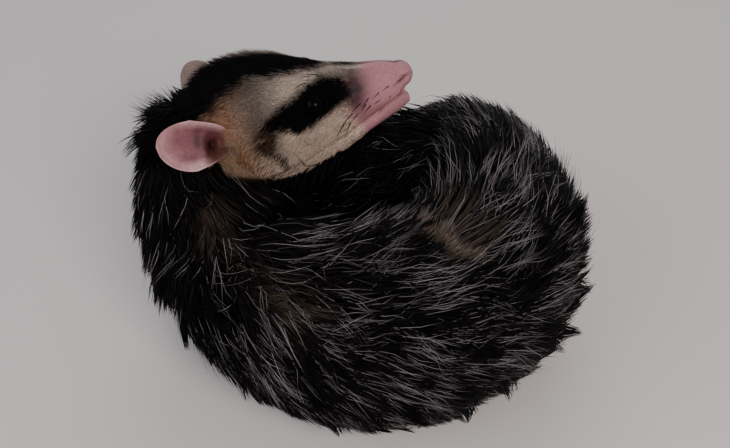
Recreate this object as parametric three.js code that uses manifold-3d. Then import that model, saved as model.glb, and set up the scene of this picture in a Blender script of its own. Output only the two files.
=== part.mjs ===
// A white-eared opossum curled up on the floor, its chin over its own rump, at life size.
// Millimetres, +Z up. The origin is on the floor under the middle of the animal. The stations below are
// written from a point near it, and the whole is moved to the origin at the end.
// The trunk is a thick tube on a curve that runs from the chest at the left, round the near side (-Y),
// to the rump and tail root at the far right. The head lies over the far side and looks along +X.
import * as THREE from "three";
import { mergeVertices } from "three/addons/utils/BufferGeometryUtils.js";
import Module from "manifold-3d";

const wasm = await Module();
wasm.setup();

// Driving sizes
const GAP = 0.3; // between neighbouring pieces
const SLIVER = 0.04; // edges and steps smaller than this are smoothed away
const BELLY_SINK = 4; // how far the soft belly would reach below the floor, which cuts it to flats
const TRUNK_SIDES = 18;
const TAIL_SIDES = 8;
const TAIL_STEPS = 33;

// The coat: flat locks that stand on a core, which reaches half way to their tips
const CORE_SHARE = 0.5;
const LOCK_LENGTH = 36;
const LOCK_WIDTH = 13.5;
const LOCK_THICK = 2;
const LOCK_SPACING = 16;
const LOCK_ROOT = 2.6; // how deep a lock's root is sunk in the core
const LOCK_VARIES = 0.15; // how far a lock's size strays from its own
const LIE_TURN = 0.32; // how fast the lie turns away from the length, going round the body
const ROOT_TRIES = 2500;
const ROOT_LOWEST = 5; // no lock starts lower than this over the floor
const ROOT_CLEAR = 0.012; // share of the trunk that locks keep from a parting
// Rings of a lock: share of its length, of its width and of its thickness
const LOCK_RINGS = [
  [0, 0.8, 1],
  [0.34, 1, 1],
  [0.68, 0.75, 0.75],
];
// What is tried in turn for a lock that would touch another piece: share of the length, extra rise
const LOCK_FITS = [
  [1, 0],
  [1, 0.08],
  [0.8, 0.04],
  [0.65, 0.1],
  [0.5, 0.05],
];

// Head pose: where the nose tip is, and how far the head is turned, raised and tilted, in degrees
const NOSE_TIP = [22.7, 49.3, 119.6];
const HEAD_TURN = [14.5, 13.2, -11.2];

const EYE_RADIUS = 5;
const EYE_PLACE = [-46.5, 15.4, 6.6]; // from the nose tip: forward, out to the side, up
const LID_STEPS = 14;
const LID_SIDES = 5;
const EAR_LENGTH = 29;
const EAR_WIDTH = 23.5;
// Each ear points its own way, right (-1) and left (1): the near one is laid back, the far one held up
const EAR_AXIS = { [-1]: [-0.9, -0.25, 0.33], 1: [-0.5, 0.66, 0.28] };
const EAR_OPENING = { [-1]: [0.2, -0.8, 0.56], 1: [0.45, 0.75, -0.2] };
const EAR_THICK = 1.4;
const EAR_CUP = 6; // how deep the ear's cup is
const EAR_ROOT = [-86, 21.5, 7.5];

// Trunk stations: centre x, y, z, half width, height above the centre, depth of the coat
const TRUNK = [
  [-61, 50, 60, 17, 19, 7],
  [-61, 27, 57, 32, 33, 12],
  [-54, 4, 54, 40, 42, 16],
  [-35, -19, 50, 39, 46, 18],
  [-7, -30, 50, 45, 47, 19],
  [25, -26, 51, 47, 48, 20],
  [46, -8, 52, 49, 49, 20],
  [52, 18, 53, 50, 51, 20],
  [45, 45, 50, 43, 51, 18],
  [26, 70, 36, 25, 28, 11],
  [4, 88, 22, 14, 14, 5],
];
// Neck stations, from inside the skull to inside the chest
const NECK = [
  [-62, 36, 104, 21, 21, 5],
  [-66, 26, 96, 29, 29, 9],
  [-66, 9, 81, 33, 33, 13],
  [-58, -8, 60, 36, 36, 16],
];
// Where the trunk is parted, as shares of its length
const CHEST_END = 0.33;
const LOIN_END = 0.6;
const RUMP_END = 0.82;
// The thigh that fills the middle of the curl, under the chin
const THIGH = [
  [46, 46, 48, 28, 46, 13],
  [22, 40, 50, 28, 45, 13],
  [-2, 36, 45, 24, 38, 11],
  [-18, 40, 34, 14, 20, 7],
];

// Head stations: back from the nose tip, half width, top, height of the widest line, underside
const SKULL = [
  [-5, 5.6, 5.4, -1, -4.5],
  [-8, 7.6, 7.2, -2, -7],
  [-14, 9.6, 9.4, -3, -8.8],
  [-22, 11.4, 11.6, -4, -11.6],
  [-30, 13.2, 14.2, -4, -14],
  [-38, 15.6, 17.4, -3, -15.5],
  [-48, 19.6, 22, -1, -17],
  [-58, 23.2, 26.6, 0, -19],
  [-70, 26.4, 29.4, 1, -20],
  [-82, 26.8, 29, 1, -19],
  [-92, 23, 25.6, 2, -15],
  [-99, 16, 19, 3, -9],
  [-103, 7, 11, 4, -4],
];
const JAW = [
  [-6, 3.4, -8, -11, -13.6],
  [-9, 5.4, -7, -10.4, -14.8],
  [-16, 7.4, -7, -11.4, -16.4],
  [-24, 9, -8, -13, -18.6],
  [-37, 12.4, -9, -15.5, -22.6],
  [-52, 17, -9, -16, -26.4],
  [-64, 19, -9, -15.5, -27.4],
  [-76, 17.5, -9, -14, -25],
  [-86, 11, -9, -13, -20],
];

const PALM_HALF = 4.6;
const DIGIT_RADIUS = 2;
const CLAW_LENGTH = 3.4;
const FORE = { long: 15, wide: 11, digits: 9, thumbClaw: true };
const HIND = { long: 26, wide: 11, digits: 10, thumbClaw: false };
// Leg points: x, y, z and radius, from inside the trunk to the wrist or heel
const LEGS = {
  hindleg_right: [
    [[0, 42, 28, 12], [4, 50, 17, 9], [8, 52, 8, 6]],
    { ...HIND, heading: [-1, 0.02, 0], hand: 1 },
  ],
  foreleg_right: [
    [[-38, 14, 56, 25], [-27, 30, 44, 17], [-25, 36, 20, 9], [-20, 36, 8, 6]],
    { ...FORE, heading: [1, 0.05, 0], hand: 1 },
  ],
  hindleg_left: [
    [[34, 62, 32, 14], [26, 76, 17, 9], [16, 80, 7.5, 6]],
    { ...HIND, heading: [-1, 0.02, 0], hand: -1 },
  ],
  foreleg_left: [
    [[-58, 36, 30, 12], [-55, 56, 18, 9], [-46, 66, 8, 6]],
    { ...FORE, heading: [1, 0.03, 0], hand: -1 },
  ],
};

// Tail: naked, round and tapering, laid along the far side and turned back on itself
const TAIL = [
  [4, 88, 22, 9.5],
  [-14, 98, 11, 8.8],
  [-42, 97, 7.6, 8],
  [-70, 90, 7, 7.4],
  [-88, 91, 6.4, 6.8],
  [-93, 102, 5.9, 6.3],
  [-78, 110, 5.4, 5.8],
  [-50, 112, 4.8, 5.2],
  [-20, 112.5, 4.2, 4.6],
  [10, 112, 3.6, 4],
  [34, 107, 3.1, 3.5],
  [45, 96, 2.6, 3],
];
// The tail's lengths, as shares of the whole; the second cut is where it turns back
const TAIL_LENGTHS = [
  ["tail_root", 0, 2 / 11],
  ["tail_middle", 2 / 11, 5 / 11],
  ["tail_end", 5 / 11, 8 / 11],
  ["tail_tip", 8 / 11, 1],
];

const COLOURS = {
  coat: ["#1b1819", 0.85],
  face: ["#cdbfa2", 0.85],
  skin: ["#c58f95", 0.55],
  eye: ["#0b0909", 0.12],
  tailDark: ["#3a3032", 0.65],
  tailPale: ["#c9a9a2", 0.6],
};

const v3 = (x, y, z) => new THREE.Vector3(x, y, z);
const UP = v3(0, 0, 1);
const mix = (a, b, t) => a + (b - a) * t;
// Seeded random numbers, so that the model is the same each time
let seed = 20240611;
function random() {
  seed = (seed * 1664525 + 1013904223) % 4294967296;
  return seed / 4294967296;
}
const vary = (amount) => 1 + (random() * 2 - 1) * amount;
const clamp01 = (t) => Math.min(1, Math.max(0, t));
const radians = THREE.MathUtils.degToRad;

// Solids

function solidOf(positions, faces) {
  let geometry = new THREE.BufferGeometry();
  geometry.setAttribute("position", new THREE.Float32BufferAttribute(positions, 3));
  geometry.setIndex(faces);
  geometry = mergeVertices(geometry, 1e-4);
  const vertProperties = new Float32Array(geometry.attributes.position.array);
  const triVerts = new Uint32Array(geometry.index.array);
  const made = new wasm.Manifold(new wasm.Mesh({ numProp: 3, vertProperties, triVerts }));
  if (made.volume() > 0) return made;
  for (let i = 0; i < triVerts.length; i += 3) {
    [triVerts[i + 1], triVerts[i + 2]] = [triVerts[i + 2], triVerts[i + 1]];
  }
  return new wasm.Manifold(new wasm.Mesh({ numProp: 3, vertProperties, triVerts }));
}

// A closed skin over a row of rings. A ring of one point is a tip, and an open end gets a flat cap.
function loft(rings) {
  const positions = [];
  const faces = [];
  const starts = [];
  const put = (p) => positions.push(p.x, p.y, p.z) / 3 - 1;
  for (const ring of rings) {
    starts.push(positions.length / 3);
    ring.forEach(put);
  }
  const sides = Math.max(...rings.map((ring) => ring.length));
  for (let i = 0; i + 1 < rings.length; i++) {
    const [a, b] = [starts[i], starts[i + 1]];
    for (let j = 0; j < sides; j++) {
      const k = (j + 1) % sides;
      if (rings[i].length > 1) faces.push(a + j, a + k, rings[i + 1].length > 1 ? b + k : b);
      if (rings[i + 1].length > 1) faces.push(rings[i].length > 1 ? a + j : a, b + k, b + j);
    }
  }
  for (const [i, turn] of [[0, 1], [rings.length - 1, -1]]) {
    const ring = rings[i];
    if (ring.length === 1) continue;
    const middle = put(ring.reduce((sum, p) => sum.add(p), v3(0, 0, 0)).divideScalar(ring.length));
    for (let j = 0; j < sides; j++) {
      const [from, to] = turn > 0 ? [j + 1, j] : [j, j + 1];
      faces.push(middle, starts[i] + (from % sides), starts[i] + (to % sides));
    }
  }
  return solidOf(positions, faces);
}

// The same solid with its surface moved out by a distance, sharp edges included
function grown(solid, by = GAP) {
  const { vertProperties, triVerts, numProp } = solid.getMesh();
  const corner = (i) => v3(...vertProperties.slice(i * numProp, i * numProp + 3));
  const count = vertProperties.length / numProp;
  const sums = Array.from({ length: count }, () => v3(0, 0, 0));
  const flats = [];
  for (let i = 0; i < triVerts.length; i += 3) {
    const [a, b, c] = [0, 1, 2].map((k) => corner(triVerts[i + k]));
    const area = b.sub(a).cross(c.sub(a));
    [0, 1, 2].forEach((k) => sums[triVerts[i + k]].add(area));
    if (area.length() > 0.02) flats.push([i, area.clone().normalize()]);
  }
  sums.forEach((sum) => sum.normalize());
  const least = new Float32Array(count).fill(1);
  for (const [i, normal] of flats) {
    for (let k = 0; k < 3; k++) {
      const v = triVerts[i + k];
      least[v] = Math.min(least[v], Math.max(0.5, sums[v].dot(normal)));
    }
  }
  const moved = [];
  for (let i = 0; i < count; i++) {
    const p = corner(i).addScaledVector(sums[i], by / least[i]);
    moved.push(p.x, p.y, p.z);
  }
  return solidOf(moved, Array.from(triVerts));
}

// A ring of points round a centre, on the two half axes side and up
function ring(centre, side, up, count) {
  return Array.from({ length: count }, (_, i) => {
    const turn = (i / count) * 2 * Math.PI;
    return centre.clone().addScaledVector(side, Math.cos(turn)).addScaledVector(up, Math.sin(turn));
  });
}

// A round limb or tail through points [x, y, z, radius], closed by a tip at each end.
// A length of it from share t0 to t1 ends square, half the gap short of the next length.
function limb(points, steps, sides, t0 = 0, t1 = 1) {
  const path = new THREE.CatmullRomCurve3(points.map((p) => v3(p[0], p[1], p[2])));
  const girth = new THREE.CatmullRomCurve3(points.map((p) => v3(p[3], 0, 0)));
  const rings = [];
  const [first, last] = [Math.round(t0 * steps), Math.round(t1 * steps)];
  if (first === 0) rings.push([path.getPoint(0).addScaledVector(path.getTangent(0), -points[0][3] * 0.5)]);
  for (let i = first; i <= last; i++) {
    const at = path.getPoint(i / steps);
    const along = path.getTangent(i / steps);
    const radius = girth.getPoint(i / steps).x;
    const side = along.clone().cross(Math.abs(along.z) > 0.95 ? v3(0, 1, 0) : UP).normalize();
    const up = side.clone().cross(along);
    if (i === first && i > 0) at.addScaledVector(along, GAP / 2);
    if (i === last && i < steps) at.addScaledVector(along, -GAP / 2);
    rings.push(ring(at, side.multiplyScalar(radius), up.multiplyScalar(radius), sides));
  }
  if (last === steps) {
    rings.push([path.getPoint(1).addScaledVector(path.getTangent(1), points[points.length - 1][3] * 0.7)]);
  }
  return loft(rings);
}

// A ball stretched to three half axes
function ball(centre, axes, around = 12, down = 8) {
  const shape = new THREE.SphereGeometry(1, around, down).deleteAttribute("normal").deleteAttribute("uv");
  const frame = new THREE.Matrix4().makeBasis(...axes).setPosition(centre);
  shape.applyMatrix4(frame);
  return solidOf(Array.from(shape.attributes.position.array), Array.from(shape.index.array));
}

// Trunk and neck: tubes whose coat stands on a curve of stations

class Tube {
  constructor(stations, { steps, bellyOnFloor, innerShare }) {
    const curve = (pick) => new THREE.CatmullRomCurve3(stations.map(pick), false, "catmullrom", 0.5);
    this.path = curve((s) => v3(s[0], s[1], s[2]));
    this.sizes = curve((s) => v3(s[3], s[4], s[5]));
    Object.assign(this, { steps, bellyOnFloor, innerShare });
  }

  section(t) {
    const [centre, along] = [this.path.getPoint(t), this.path.getTangent(t)];
    const out = along.clone().cross(UP).normalize();
    const up = out.clone().cross(along);
    const { x: wide, y: high, z: coat } = this.sizes.getPoint(t);
    return { centre, out, up, wide, high, coat };
  }

  // The point at share t of the length and angle round from the outer side through the top,
  // at a share of the coat: 0 on the skin and 1 at the tips. The belly is pressed on the floor.
  point(t, angle, share) {
    const { centre, out, up, wide, high, coat } = this.section(t);
    const inside = coat * (1 - share);
    const [c, s] = [Math.cos(angle), Math.sin(angle)];
    const low = this.bellyOnFloor ? centre.z + BELLY_SINK : high - inside;
    const across = c < 0 ? wide * this.innerShare - inside : wide - inside;
    const lift = s > 0 ? high - inside : low;
    return centre.clone().addScaledVector(out, c * across).addScaledVector(up, s * lift);
  }

  // The solid core, with rings on even steps that reach just past the shares t0 and t1 of the length
  core(t0 = 0, t1 = 1) {
    const rings = [];
    const first = Math.max(0, Math.floor(t0 * this.steps) - 1);
    const last = Math.min(this.steps, Math.ceil(t1 * this.steps) + 1);
    for (let i = first; i <= last; i++) {
      const corner = (_, j) => this.point(i / this.steps, (j / TRUNK_SIDES) * 2 * Math.PI, CORE_SHARE);
      rings.push(Array.from({ length: TRUNK_SIDES }, corner));
    }
    const [front, back] = [this.section(0), this.section(1)];
    const tip = ({ centre, out, up, wide }, out_by) => centre.addScaledVector(out.cross(up), out_by * wide);
    if (first === 0) rings.unshift([tip(front, 0.4)]);
    if (last === this.steps) rings.push([tip(back, -0.4)]);
    return loft(rings);
  }
}

// The lie of the coat, as the turn from the length of the tube towards its top:
// it runs to the tail, down over the outer flank and inwards over the back
const lieOf = (angle) => (angle - radians(70)) * LIE_TURN;

// Walks over a tube from a share and angle by a distance along its length and one round it
function walk(tube, t, angle, along, round) {
  const STEP = 1e-3;
  const here = tube.point(t, angle, 1);
  const perT = tube.point(t + STEP, angle, 1).distanceTo(here) / STEP;
  const perAngle = tube.point(t, angle + STEP, 1).distanceTo(here) / STEP;
  return [Math.min(1, t + along / perT), angle + round / perAngle];
}

// One flat lock that leaves its root, bends along the lie and tapers to its tip
function lock(tube, { root, length, width, lean, rise }, fat = 0) {
  let [t, angle] = root;
  const start = CORE_SHARE - LOCK_ROOT / tube.section(t).coat;
  const spots = [];
  let before = 0;
  for (const s of [...LOCK_RINGS.map((r) => r[0]), 1]) {
    const turn = lieOf(angle) + lean;
    const step = (s - before) * length;
    if (s > 0) [t, angle] = walk(tube, t, angle, step * Math.cos(turn), step * Math.sin(turn));
    before = s;
    const share = mix(start, rise, s ** 0.85);
    const at = tube.point(t, angle, share);
    spots.push({ at, normal: tube.point(t, angle, share + 0.1).sub(at).normalize() });
  }
  const rings = LOCK_RINGS.map(([, wide, thick], i) => {
    const { at, normal } = spots[i];
    const along = spots[i + 1].at.clone().sub(at).normalize();
    const side = along.cross(normal).normalize();
    side.multiplyScalar((width * wide) / 2 + fat);
    return ring(at, side, normal.clone().multiplyScalar((LOCK_THICK * thick) / 2 + fat), 4);
  });
  const [last, tip] = spots.slice(-2).map((spot) => spot.at);
  return loft([...rings, [tip.clone().addScaledVector(tip.clone().sub(last).normalize(), fat)]]);
}

// Roots spread evenly over part of a tube: seeded points, each kept if it is clear of those before
function spreadRoots(tube, [t0, t1], [low, high]) {
  const kept = [];
  for (let i = 0; i < ROOT_TRIES; i++) {
    const root = [mix(t0, t1, random()), radians(mix(low, high, random()))];
    const place = tube.point(...root, 0.8);
    const crowded = kept.some((other) => other.place.distanceTo(place) < LOCK_SPACING);
    if (place.z >= ROOT_LOWEST && !crowded) kept.push({ root, place });
  }
  return kept.map(({ root }) => root);
}

const trunk = new Tube(TRUNK, { steps: 30, bellyOnFloor: true, innerShare: 0.7 });
const thigh = new Tube(THIGH, { steps: 8, bellyOnFloor: false, innerShare: 1 });
const neck = new Tube(NECK, { steps: 10, bellyOnFloor: false, innerShare: 1 });

// Head: its own frame, with points given as forward, left and up from the nose tip

const headFrame = (() => {
  const [yaw, pitch, roll] = HEAD_TURN.map(radians);
  const forward = v3(Math.cos(pitch) * Math.cos(yaw), Math.cos(pitch) * Math.sin(yaw), Math.sin(pitch));
  const level = v3(-Math.sin(yaw), Math.cos(yaw), 0);
  const crown = forward.clone().cross(level);
  const left = level.clone().multiplyScalar(Math.cos(roll)).addScaledVector(crown, Math.sin(roll));
  const up = forward.clone().cross(left);
  return { forward, left, up };
})();
const headVector = (f, l, u) =>
  v3(0, 0, 0)
    .addScaledVector(headFrame.forward, f)
    .addScaledVector(headFrame.left, l)
    .addScaledVector(headFrame.up, u);
const headPoint = (f, l, u) => headVector(f, l, u).add(v3(...NOSE_TIP));

const headAxes = (f, l, u) => [headVector(f, 0, 0), headVector(0, l, 0), headVector(0, 0, u)];

// A loft through head stations, with a squared underside
function headLoft(stations, sides, steps) {
  const curve = (pick) => new THREE.CatmullRomCurve3(stations.map(pick), false, "catmullrom", 0.5);
  const line = curve((s) => v3(s[0], s[1], s[2]));
  const lower = curve((s) => v3(s[3], s[4], 0));
  const rings = [];
  for (let i = 0; i <= steps; i++) {
    const { x: back, y: wide, z: top } = line.getPoint(i / steps);
    const { x: middle, y: under } = lower.getPoint(i / steps);
    rings.push(
      Array.from({ length: sides }, (_, j) => {
        const turn = (j / sides) * 2 * Math.PI;
        const [c, s] = [Math.cos(turn), Math.sin(turn)];
        const across = Math.sign(c) * Math.pow(Math.abs(c), s < 0 ? 0.75 : 0.92) * wide;
        return headPoint(back, across, middle + s * (s > 0 ? top - middle : middle - under));
      }),
    );
  }
  const ends = [stations[0], stations[stations.length - 1]].map((s, i) =>
    headPoint(s[0] + (i ? -1 : 1) * 1.2, 0, s[3]),
  );
  return loft([[ends[0]], ...rings, [ends[1]]]);
}

const skull = headLoft(SKULL, 20, 22);
const skullGrown = grown(skull);

const nose = ball(headPoint(-6.4, 0, 0.6), headAxes(6, 6.6, 5.8));
const nostrils = [-1, 1].map((side) =>
  ball(
    headPoint(-6.2, side * 5.6, -0.4),
    [headVector(3.3, -side * 1.3, -0.6), headVector(0, 1.7, 0), headVector(0.3, 0, 1)],
    8,
    6,
  ),
);

const eyeCentre = (side) => headPoint(EYE_PLACE[0], side * EYE_PLACE[1], EYE_PLACE[2]);
const eyeBall = (side, radius) => ball(eyeCentre(side), headAxes(radius, radius, radius));

// Lids: an almond rim round the eye, drawn out to its front and back corners
function lids(side) {
  const outwards = headVector(0.2, side * 0.8, 0.5).normalize();
  const along = headVector(1, 0, -0.1);
  along.addScaledVector(outwards, -along.dot(outwards)).normalize();
  const across = outwards.clone().cross(along).normalize();
  const centre = eyeCentre(side).addScaledVector(outwards, 3.1);
  const rings = [];
  for (let i = 0; i < LID_STEPS; i++) {
    const turn = (i / LID_STEPS) * 2 * Math.PI;
    const almond = v3(0, 0, 0)
      .addScaledVector(along, Math.cos(turn) * (EYE_RADIUS + 0.8))
      .addScaledVector(across, Math.sin(turn) * EYE_RADIUS * 0.68);
    const spoke = almond.clone().normalize();
    const drop = -0.35 * (almond.length() - EYE_RADIUS * 0.68);
    const at = centre.clone().add(almond).addScaledVector(outwards, drop);
    rings.push(ring(at, spoke.multiplyScalar(1.1), outwards.clone().multiplyScalar(1.5), LID_SIDES));
  }
  const positions = [];
  const faces = [];
  rings.forEach((points, i) => {
    points.forEach((p, j) => {
      positions.push(p.x, p.y, p.z);
      const next = (i + 1) % LID_STEPS;
      const [a, b] = [i * LID_SIDES + j, i * LID_SIDES + ((j + 1) % LID_SIDES)];
      const [c, d] = [next * LID_SIDES + j, next * LID_SIDES + ((j + 1) % LID_SIDES)];
      faces.push(a, b, d, a, d, c);
    });
  });
  return solidOf(positions, faces);
}

// The ear's half width at a share of its length: it widens from the root and ends in a half circle
function earOutline(v) {
  if (v > 0.5) return Math.sqrt(clamp01(1 - ((v - 0.5) / 0.5) ** 2));
  return mix(0.36, 1, Math.sqrt(clamp01(v / 0.5)));
}

// Ears: a thin cup that opens to the side and up, on an axis that points back and out
function ear(side) {
  const axis = headVector(...EAR_AXIS[side]).normalize();
  const open = headVector(...EAR_OPENING[side]);
  open.addScaledVector(axis, -open.dot(axis)).normalize();
  const across = axis.clone().cross(open);
  const root = headPoint(EAR_ROOT[0], side * EAR_ROOT[1], EAR_ROOT[2]);
  const [COLUMNS, ROWS] = [8, 9];
  const sheet = (lift) => {
    const points = [];
    for (let r = 0; r <= ROWS; r++) {
      for (let c = 0; c <= COLUMNS; c++) {
        const v = mix(-0.12, 1, r / ROWS);
        const half = (EAR_WIDTH / 2) * Math.max(0.12, earOutline(v));
        const u = (c / COLUMNS) * 2 - 1;
        const cup = EAR_CUP * (1 - u * u * 1.15) * mix(1, 0.45, clamp01(v));
        points.push(
          root
            .clone()
            .addScaledVector(axis, v * EAR_LENGTH)
            .addScaledVector(across, u * half)
            .addScaledVector(open, 3 - cup + lift),
        );
      }
    }
    return points;
  };
  const [front, back] = [sheet(EAR_THICK / 2), sheet(-EAR_THICK / 2)];
  const positions = [...front, ...back].flatMap((p) => [p.x, p.y, p.z]);
  const faces = [];
  const at = (r, c, layer) => layer * front.length + r * (COLUMNS + 1) + c;
  const quad = (a, b, c, d) => faces.push(a, b, c, a, c, d);
  for (let r = 0; r < ROWS; r++) {
    for (let c = 0; c < COLUMNS; c++) {
      quad(at(r, c, 0), at(r, c + 1, 0), at(r + 1, c + 1, 0), at(r + 1, c, 0));
      quad(at(r + 1, c, 1), at(r + 1, c + 1, 1), at(r, c + 1, 1), at(r, c, 1));
    }
    quad(at(r + 1, 0, 0), at(r + 1, 0, 1), at(r, 0, 1), at(r, 0, 0));
    quad(at(r, COLUMNS, 0), at(r, COLUMNS, 1), at(r + 1, COLUMNS, 1), at(r + 1, COLUMNS, 0));
  }
  for (let c = 0; c < COLUMNS; c++) {
    quad(at(0, c, 0), at(0, c, 1), at(0, c + 1, 1), at(0, c + 1, 0));
    quad(at(ROWS, c + 1, 0), at(ROWS, c + 1, 1), at(ROWS, c, 1), at(ROWS, c, 0));
  }
  return solidOf(positions, faces);
}

// Legs and paws

// A digit with its claw, from its knuckle along a heading on the floor
function digit(from, heading, length, radius, claw) {
  const tip = from.clone().addScaledVector(heading, length);
  const middle = from.clone().lerp(tip, 0.55).add(v3(0, 0, radius * 0.7));
  const girth = [1, 0.85, 0.75];
  const low = radius * 0.8;
  const points = [from, middle, tip].map((p, i) => [p.x, p.y, Math.max(p.z, low), radius * girth[i]]);
  const toe = limb(points, 2, 5);
  if (!claw) return [toe];
  const end = tip.clone().addScaledVector(heading, claw).add(v3(0, 0, -radius * 0.4));
  const clawPoints = [
    [tip.x, tip.y, tip.z + 0.4, radius * 0.5],
    [end.x, end.y, Math.max(0.6, end.z), 0.4],
  ];
  return [toe, limb(clawPoints, 1, 4)];
}

// A paw: a flat palm and five digits in a fan, the first set off as a thumb
function paw(centre, heading, { long, wide, digits, thumbClaw, hand }) {
  const side = v3(-heading.y, heading.x, 0).normalize();
  const half = (axis, size) => axis.clone().multiplyScalar(size / 2);
  const axes = [half(heading, long), half(side, wide), v3(0, 0, PALM_HALF)];
  const pieces = [ball(centre, axes, 8, 5)];
  for (let i = 0; i < 5; i++) {
    const fan = i === 0 ? -1.15 * hand : (i - 2.5) * 0.26 * hand;
    const toward = heading.clone().applyAxisAngle(UP, fan);
    const from = centre
      .clone()
      .addScaledVector(heading, i === 0 ? -long * 0.05 : long * 0.36)
      .addScaledVector(side, i === 0 ? -wide * 0.36 * hand : (i - 2.5) * wide * 0.24 * hand);
    from.z = 3;
    const length = digits * (i === 0 ? 0.8 : 1 - Math.abs(i - 2.5) * 0.08);
    pieces.push(...digit(from, toward, length, DIGIT_RADIUS, i || thumbClaw ? CLAW_LENGTH : 0));
  }
  return pieces;
}

function leg(points, pawSpec) {
  const end = points[points.length - 1];
  const heading = v3(...pawSpec.heading).normalize();
  const centre = v3(end[0], end[1], 4.2).addScaledVector(heading, pawSpec.long * 0.3);
  return wasm.Manifold.union([limb(points, 5, 8), ...paw(centre, heading, pawSpec)]);
}

// Putting it together

// A trunk length from share t0 to t1, cut square to its path half the gap short of the next length
function trunkLength(t0, t1) {
  let solid = trunk.core(t0, t1);
  for (const [t, turn] of [[t0, 1], [t1, -1]]) {
    if (t <= 0 || t >= 1) continue;
    const normal = trunk.path.getTangent(t).multiplyScalar(turn);
    solid = solid.trimByPlane(normal.toArray(), normal.dot(trunk.path.getPoint(t)) + GAP / 2);
  }
  return solid;
}

const jaw = headLoft(JAW, 16, 14);
const socket = wasm.Manifold.union([1, -1].map((side) => eyeBall(side, EYE_RADIUS + GAP)));
const headGrown = wasm.Manifold.union([skullGrown, grown(jaw), grown(ear(1)), grown(ear(-1))]);
const trunkGrown = grown(trunk.core());
const bodyGrown = trunkGrown.add(grown(neck.core()));

const pieces = {
  head: wasm.Manifold.union([skull, lids(1), lids(-1)]).subtract(socket),
  nose: wasm.Manifold.difference([nose, skullGrown, ...nostrils]),
  jaw: jaw.subtract(skullGrown),
  eye_left: eyeBall(1, EYE_RADIUS),
  eye_right: eyeBall(-1, EYE_RADIUS),
  ear_left: ear(1).subtract(skullGrown),
  ear_right: ear(-1).subtract(skullGrown),
  neck: neck.core().subtract(headGrown).subtract(trunkGrown),
  chest: trunkLength(0, CHEST_END).subtract(headGrown),
  loin: trunkLength(CHEST_END, LOIN_END).subtract(headGrown),
  rump: trunkLength(LOIN_END, RUMP_END).subtract(headGrown),
  tail_base: trunkLength(RUMP_END, 1),
};
// Each leg is cut clear of the body and of the legs before it
let taken = bodyGrown;
for (const [name, [points, pawSpec]] of Object.entries(LEGS)) {
  const lower = leg(points, pawSpec);
  const solid = name === "hindleg_right" ? lower.add(thigh.core()) : lower;
  pieces[name] = solid.subtract(taken);
  taken = taken.add(grown(solid));
}
for (const [name, from, to] of TAIL_LENGTHS) {
  pieces[name] = limb(TAIL, TAIL_STEPS, TAIL_SIDES, from, to).subtract(taken);
}

// Grows the locks of one node, each bent, raised or shortened until it is clear of all other pieces
function grow(name, tube, roots) {
  const others = Object.keys(pieces).filter((other) => other !== name);
  const around = wasm.Manifold.union(others.map((other) => pieces[other]));
  const locks = [];
  for (const root of roots) {
    const coat = tube.section(root[0]).coat;
    const size = Math.min(1.1, 0.45 + coat / 30);
    const length = LOCK_LENGTH * size * vary(LOCK_VARIES);
    const width = LOCK_WIDTH * size * vary(LOCK_VARIES);
    const lean = vary(0.22) - 1;
    const rise = 1 - LOCK_THICK / 2 / coat + (vary(0.06) - 1);
    const found = LOCK_FITS.map(([shorter, higher]) => {
      return { root, length: length * shorter, width, lean, rise: rise + higher };
    }).find((shape) => lock(tube, shape, GAP).intersect(around).volume() < 1e-6);
    if (found) locks.push(lock(tube, found));
  }
  pieces[name] = wasm.Manifold.union([pieces[name], ...locks]);
}

// From the tail forwards, so that each lock that reaches over a parting lies over the ones behind it
const trunkRoots = spreadRoots(trunk, [0.04, 0.95], [-80, 215]);
const rootsBetween = (t0, t1) => trunkRoots.filter(([t]) => t > t0 + ROOT_CLEAR && t < t1 - ROOT_CLEAR);
grow("tail_base", trunk, rootsBetween(RUMP_END, 1));
grow("rump", trunk, rootsBetween(LOIN_END, RUMP_END));
grow("loin", trunk, rootsBetween(CHEST_END, LOIN_END));
grow("neck", neck, spreadRoots(neck, [0.08, 0.8], [-70, 160]));
grow("hindleg_right", thigh, spreadRoots(thigh, [0.1, 0.85], [-20, 200]));
grow("chest", trunk, rootsBetween(0, CHEST_END));

const FINISH = {
  head: "face",
  jaw: "face",
  nose: "skin",
  eye_left: "eye",
  eye_right: "eye",
  ear_left: "skin",
  ear_right: "skin",
  tail_root: "tailDark",
  tail_middle: "tailDark",
  tail_end: "tailPale",
  tail_tip: "tailPale",
};

// A named mesh of the largest piece that stands on the floor, without slivers where pieces cross
function mesh(name, solid) {
  const whole = solid
    .trimByPlane([0, 0, 1], 0)
    .simplify(SLIVER)
    .decompose()
    .reduce((a, b) => (b.volume() > a.volume() ? b : a));
  const { vertProperties, triVerts, numProp } = whole.getMesh();
  const positions = Float32Array.from(
    { length: (vertProperties.length / numProp) * 3 },
    (_, i) => vertProperties[Math.floor(i / 3) * numProp + (i % 3)],
  );
  const geometry = new THREE.BufferGeometry();
  geometry.setAttribute("position", new THREE.BufferAttribute(positions, 3));
  geometry.setIndex(Array.from(triVerts));
  const [color, roughness] = COLOURS[FINISH[name] ?? "coat"];
  const made = new THREE.Mesh(geometry, new THREE.MeshStandardMaterial({ color, roughness, metalness: 0 }));
  made.name = name;
  return made;
}

// The whole animal, moved so that the middle of its bounding box stands over the origin
const part = new THREE.Group();
for (const [name, solid] of Object.entries(pieces)) part.add(mesh(name, solid));
const middle = new THREE.Box3().setFromObject(part).getCenter(v3(0, 0, 0));
part.position.set(-middle.x, -middle.y, 0);
part.updateMatrixWorld(true);

export default part;
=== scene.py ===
# %% [markdown]
# # A curled-up opossum, life size
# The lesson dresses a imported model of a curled-up opossum: one skin of flesh, a coat of solid tufts
# over it, wet eyes, bare pink ears and nose, and a scaly tail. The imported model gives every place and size.
# It is loaded first and is never moved.

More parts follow.
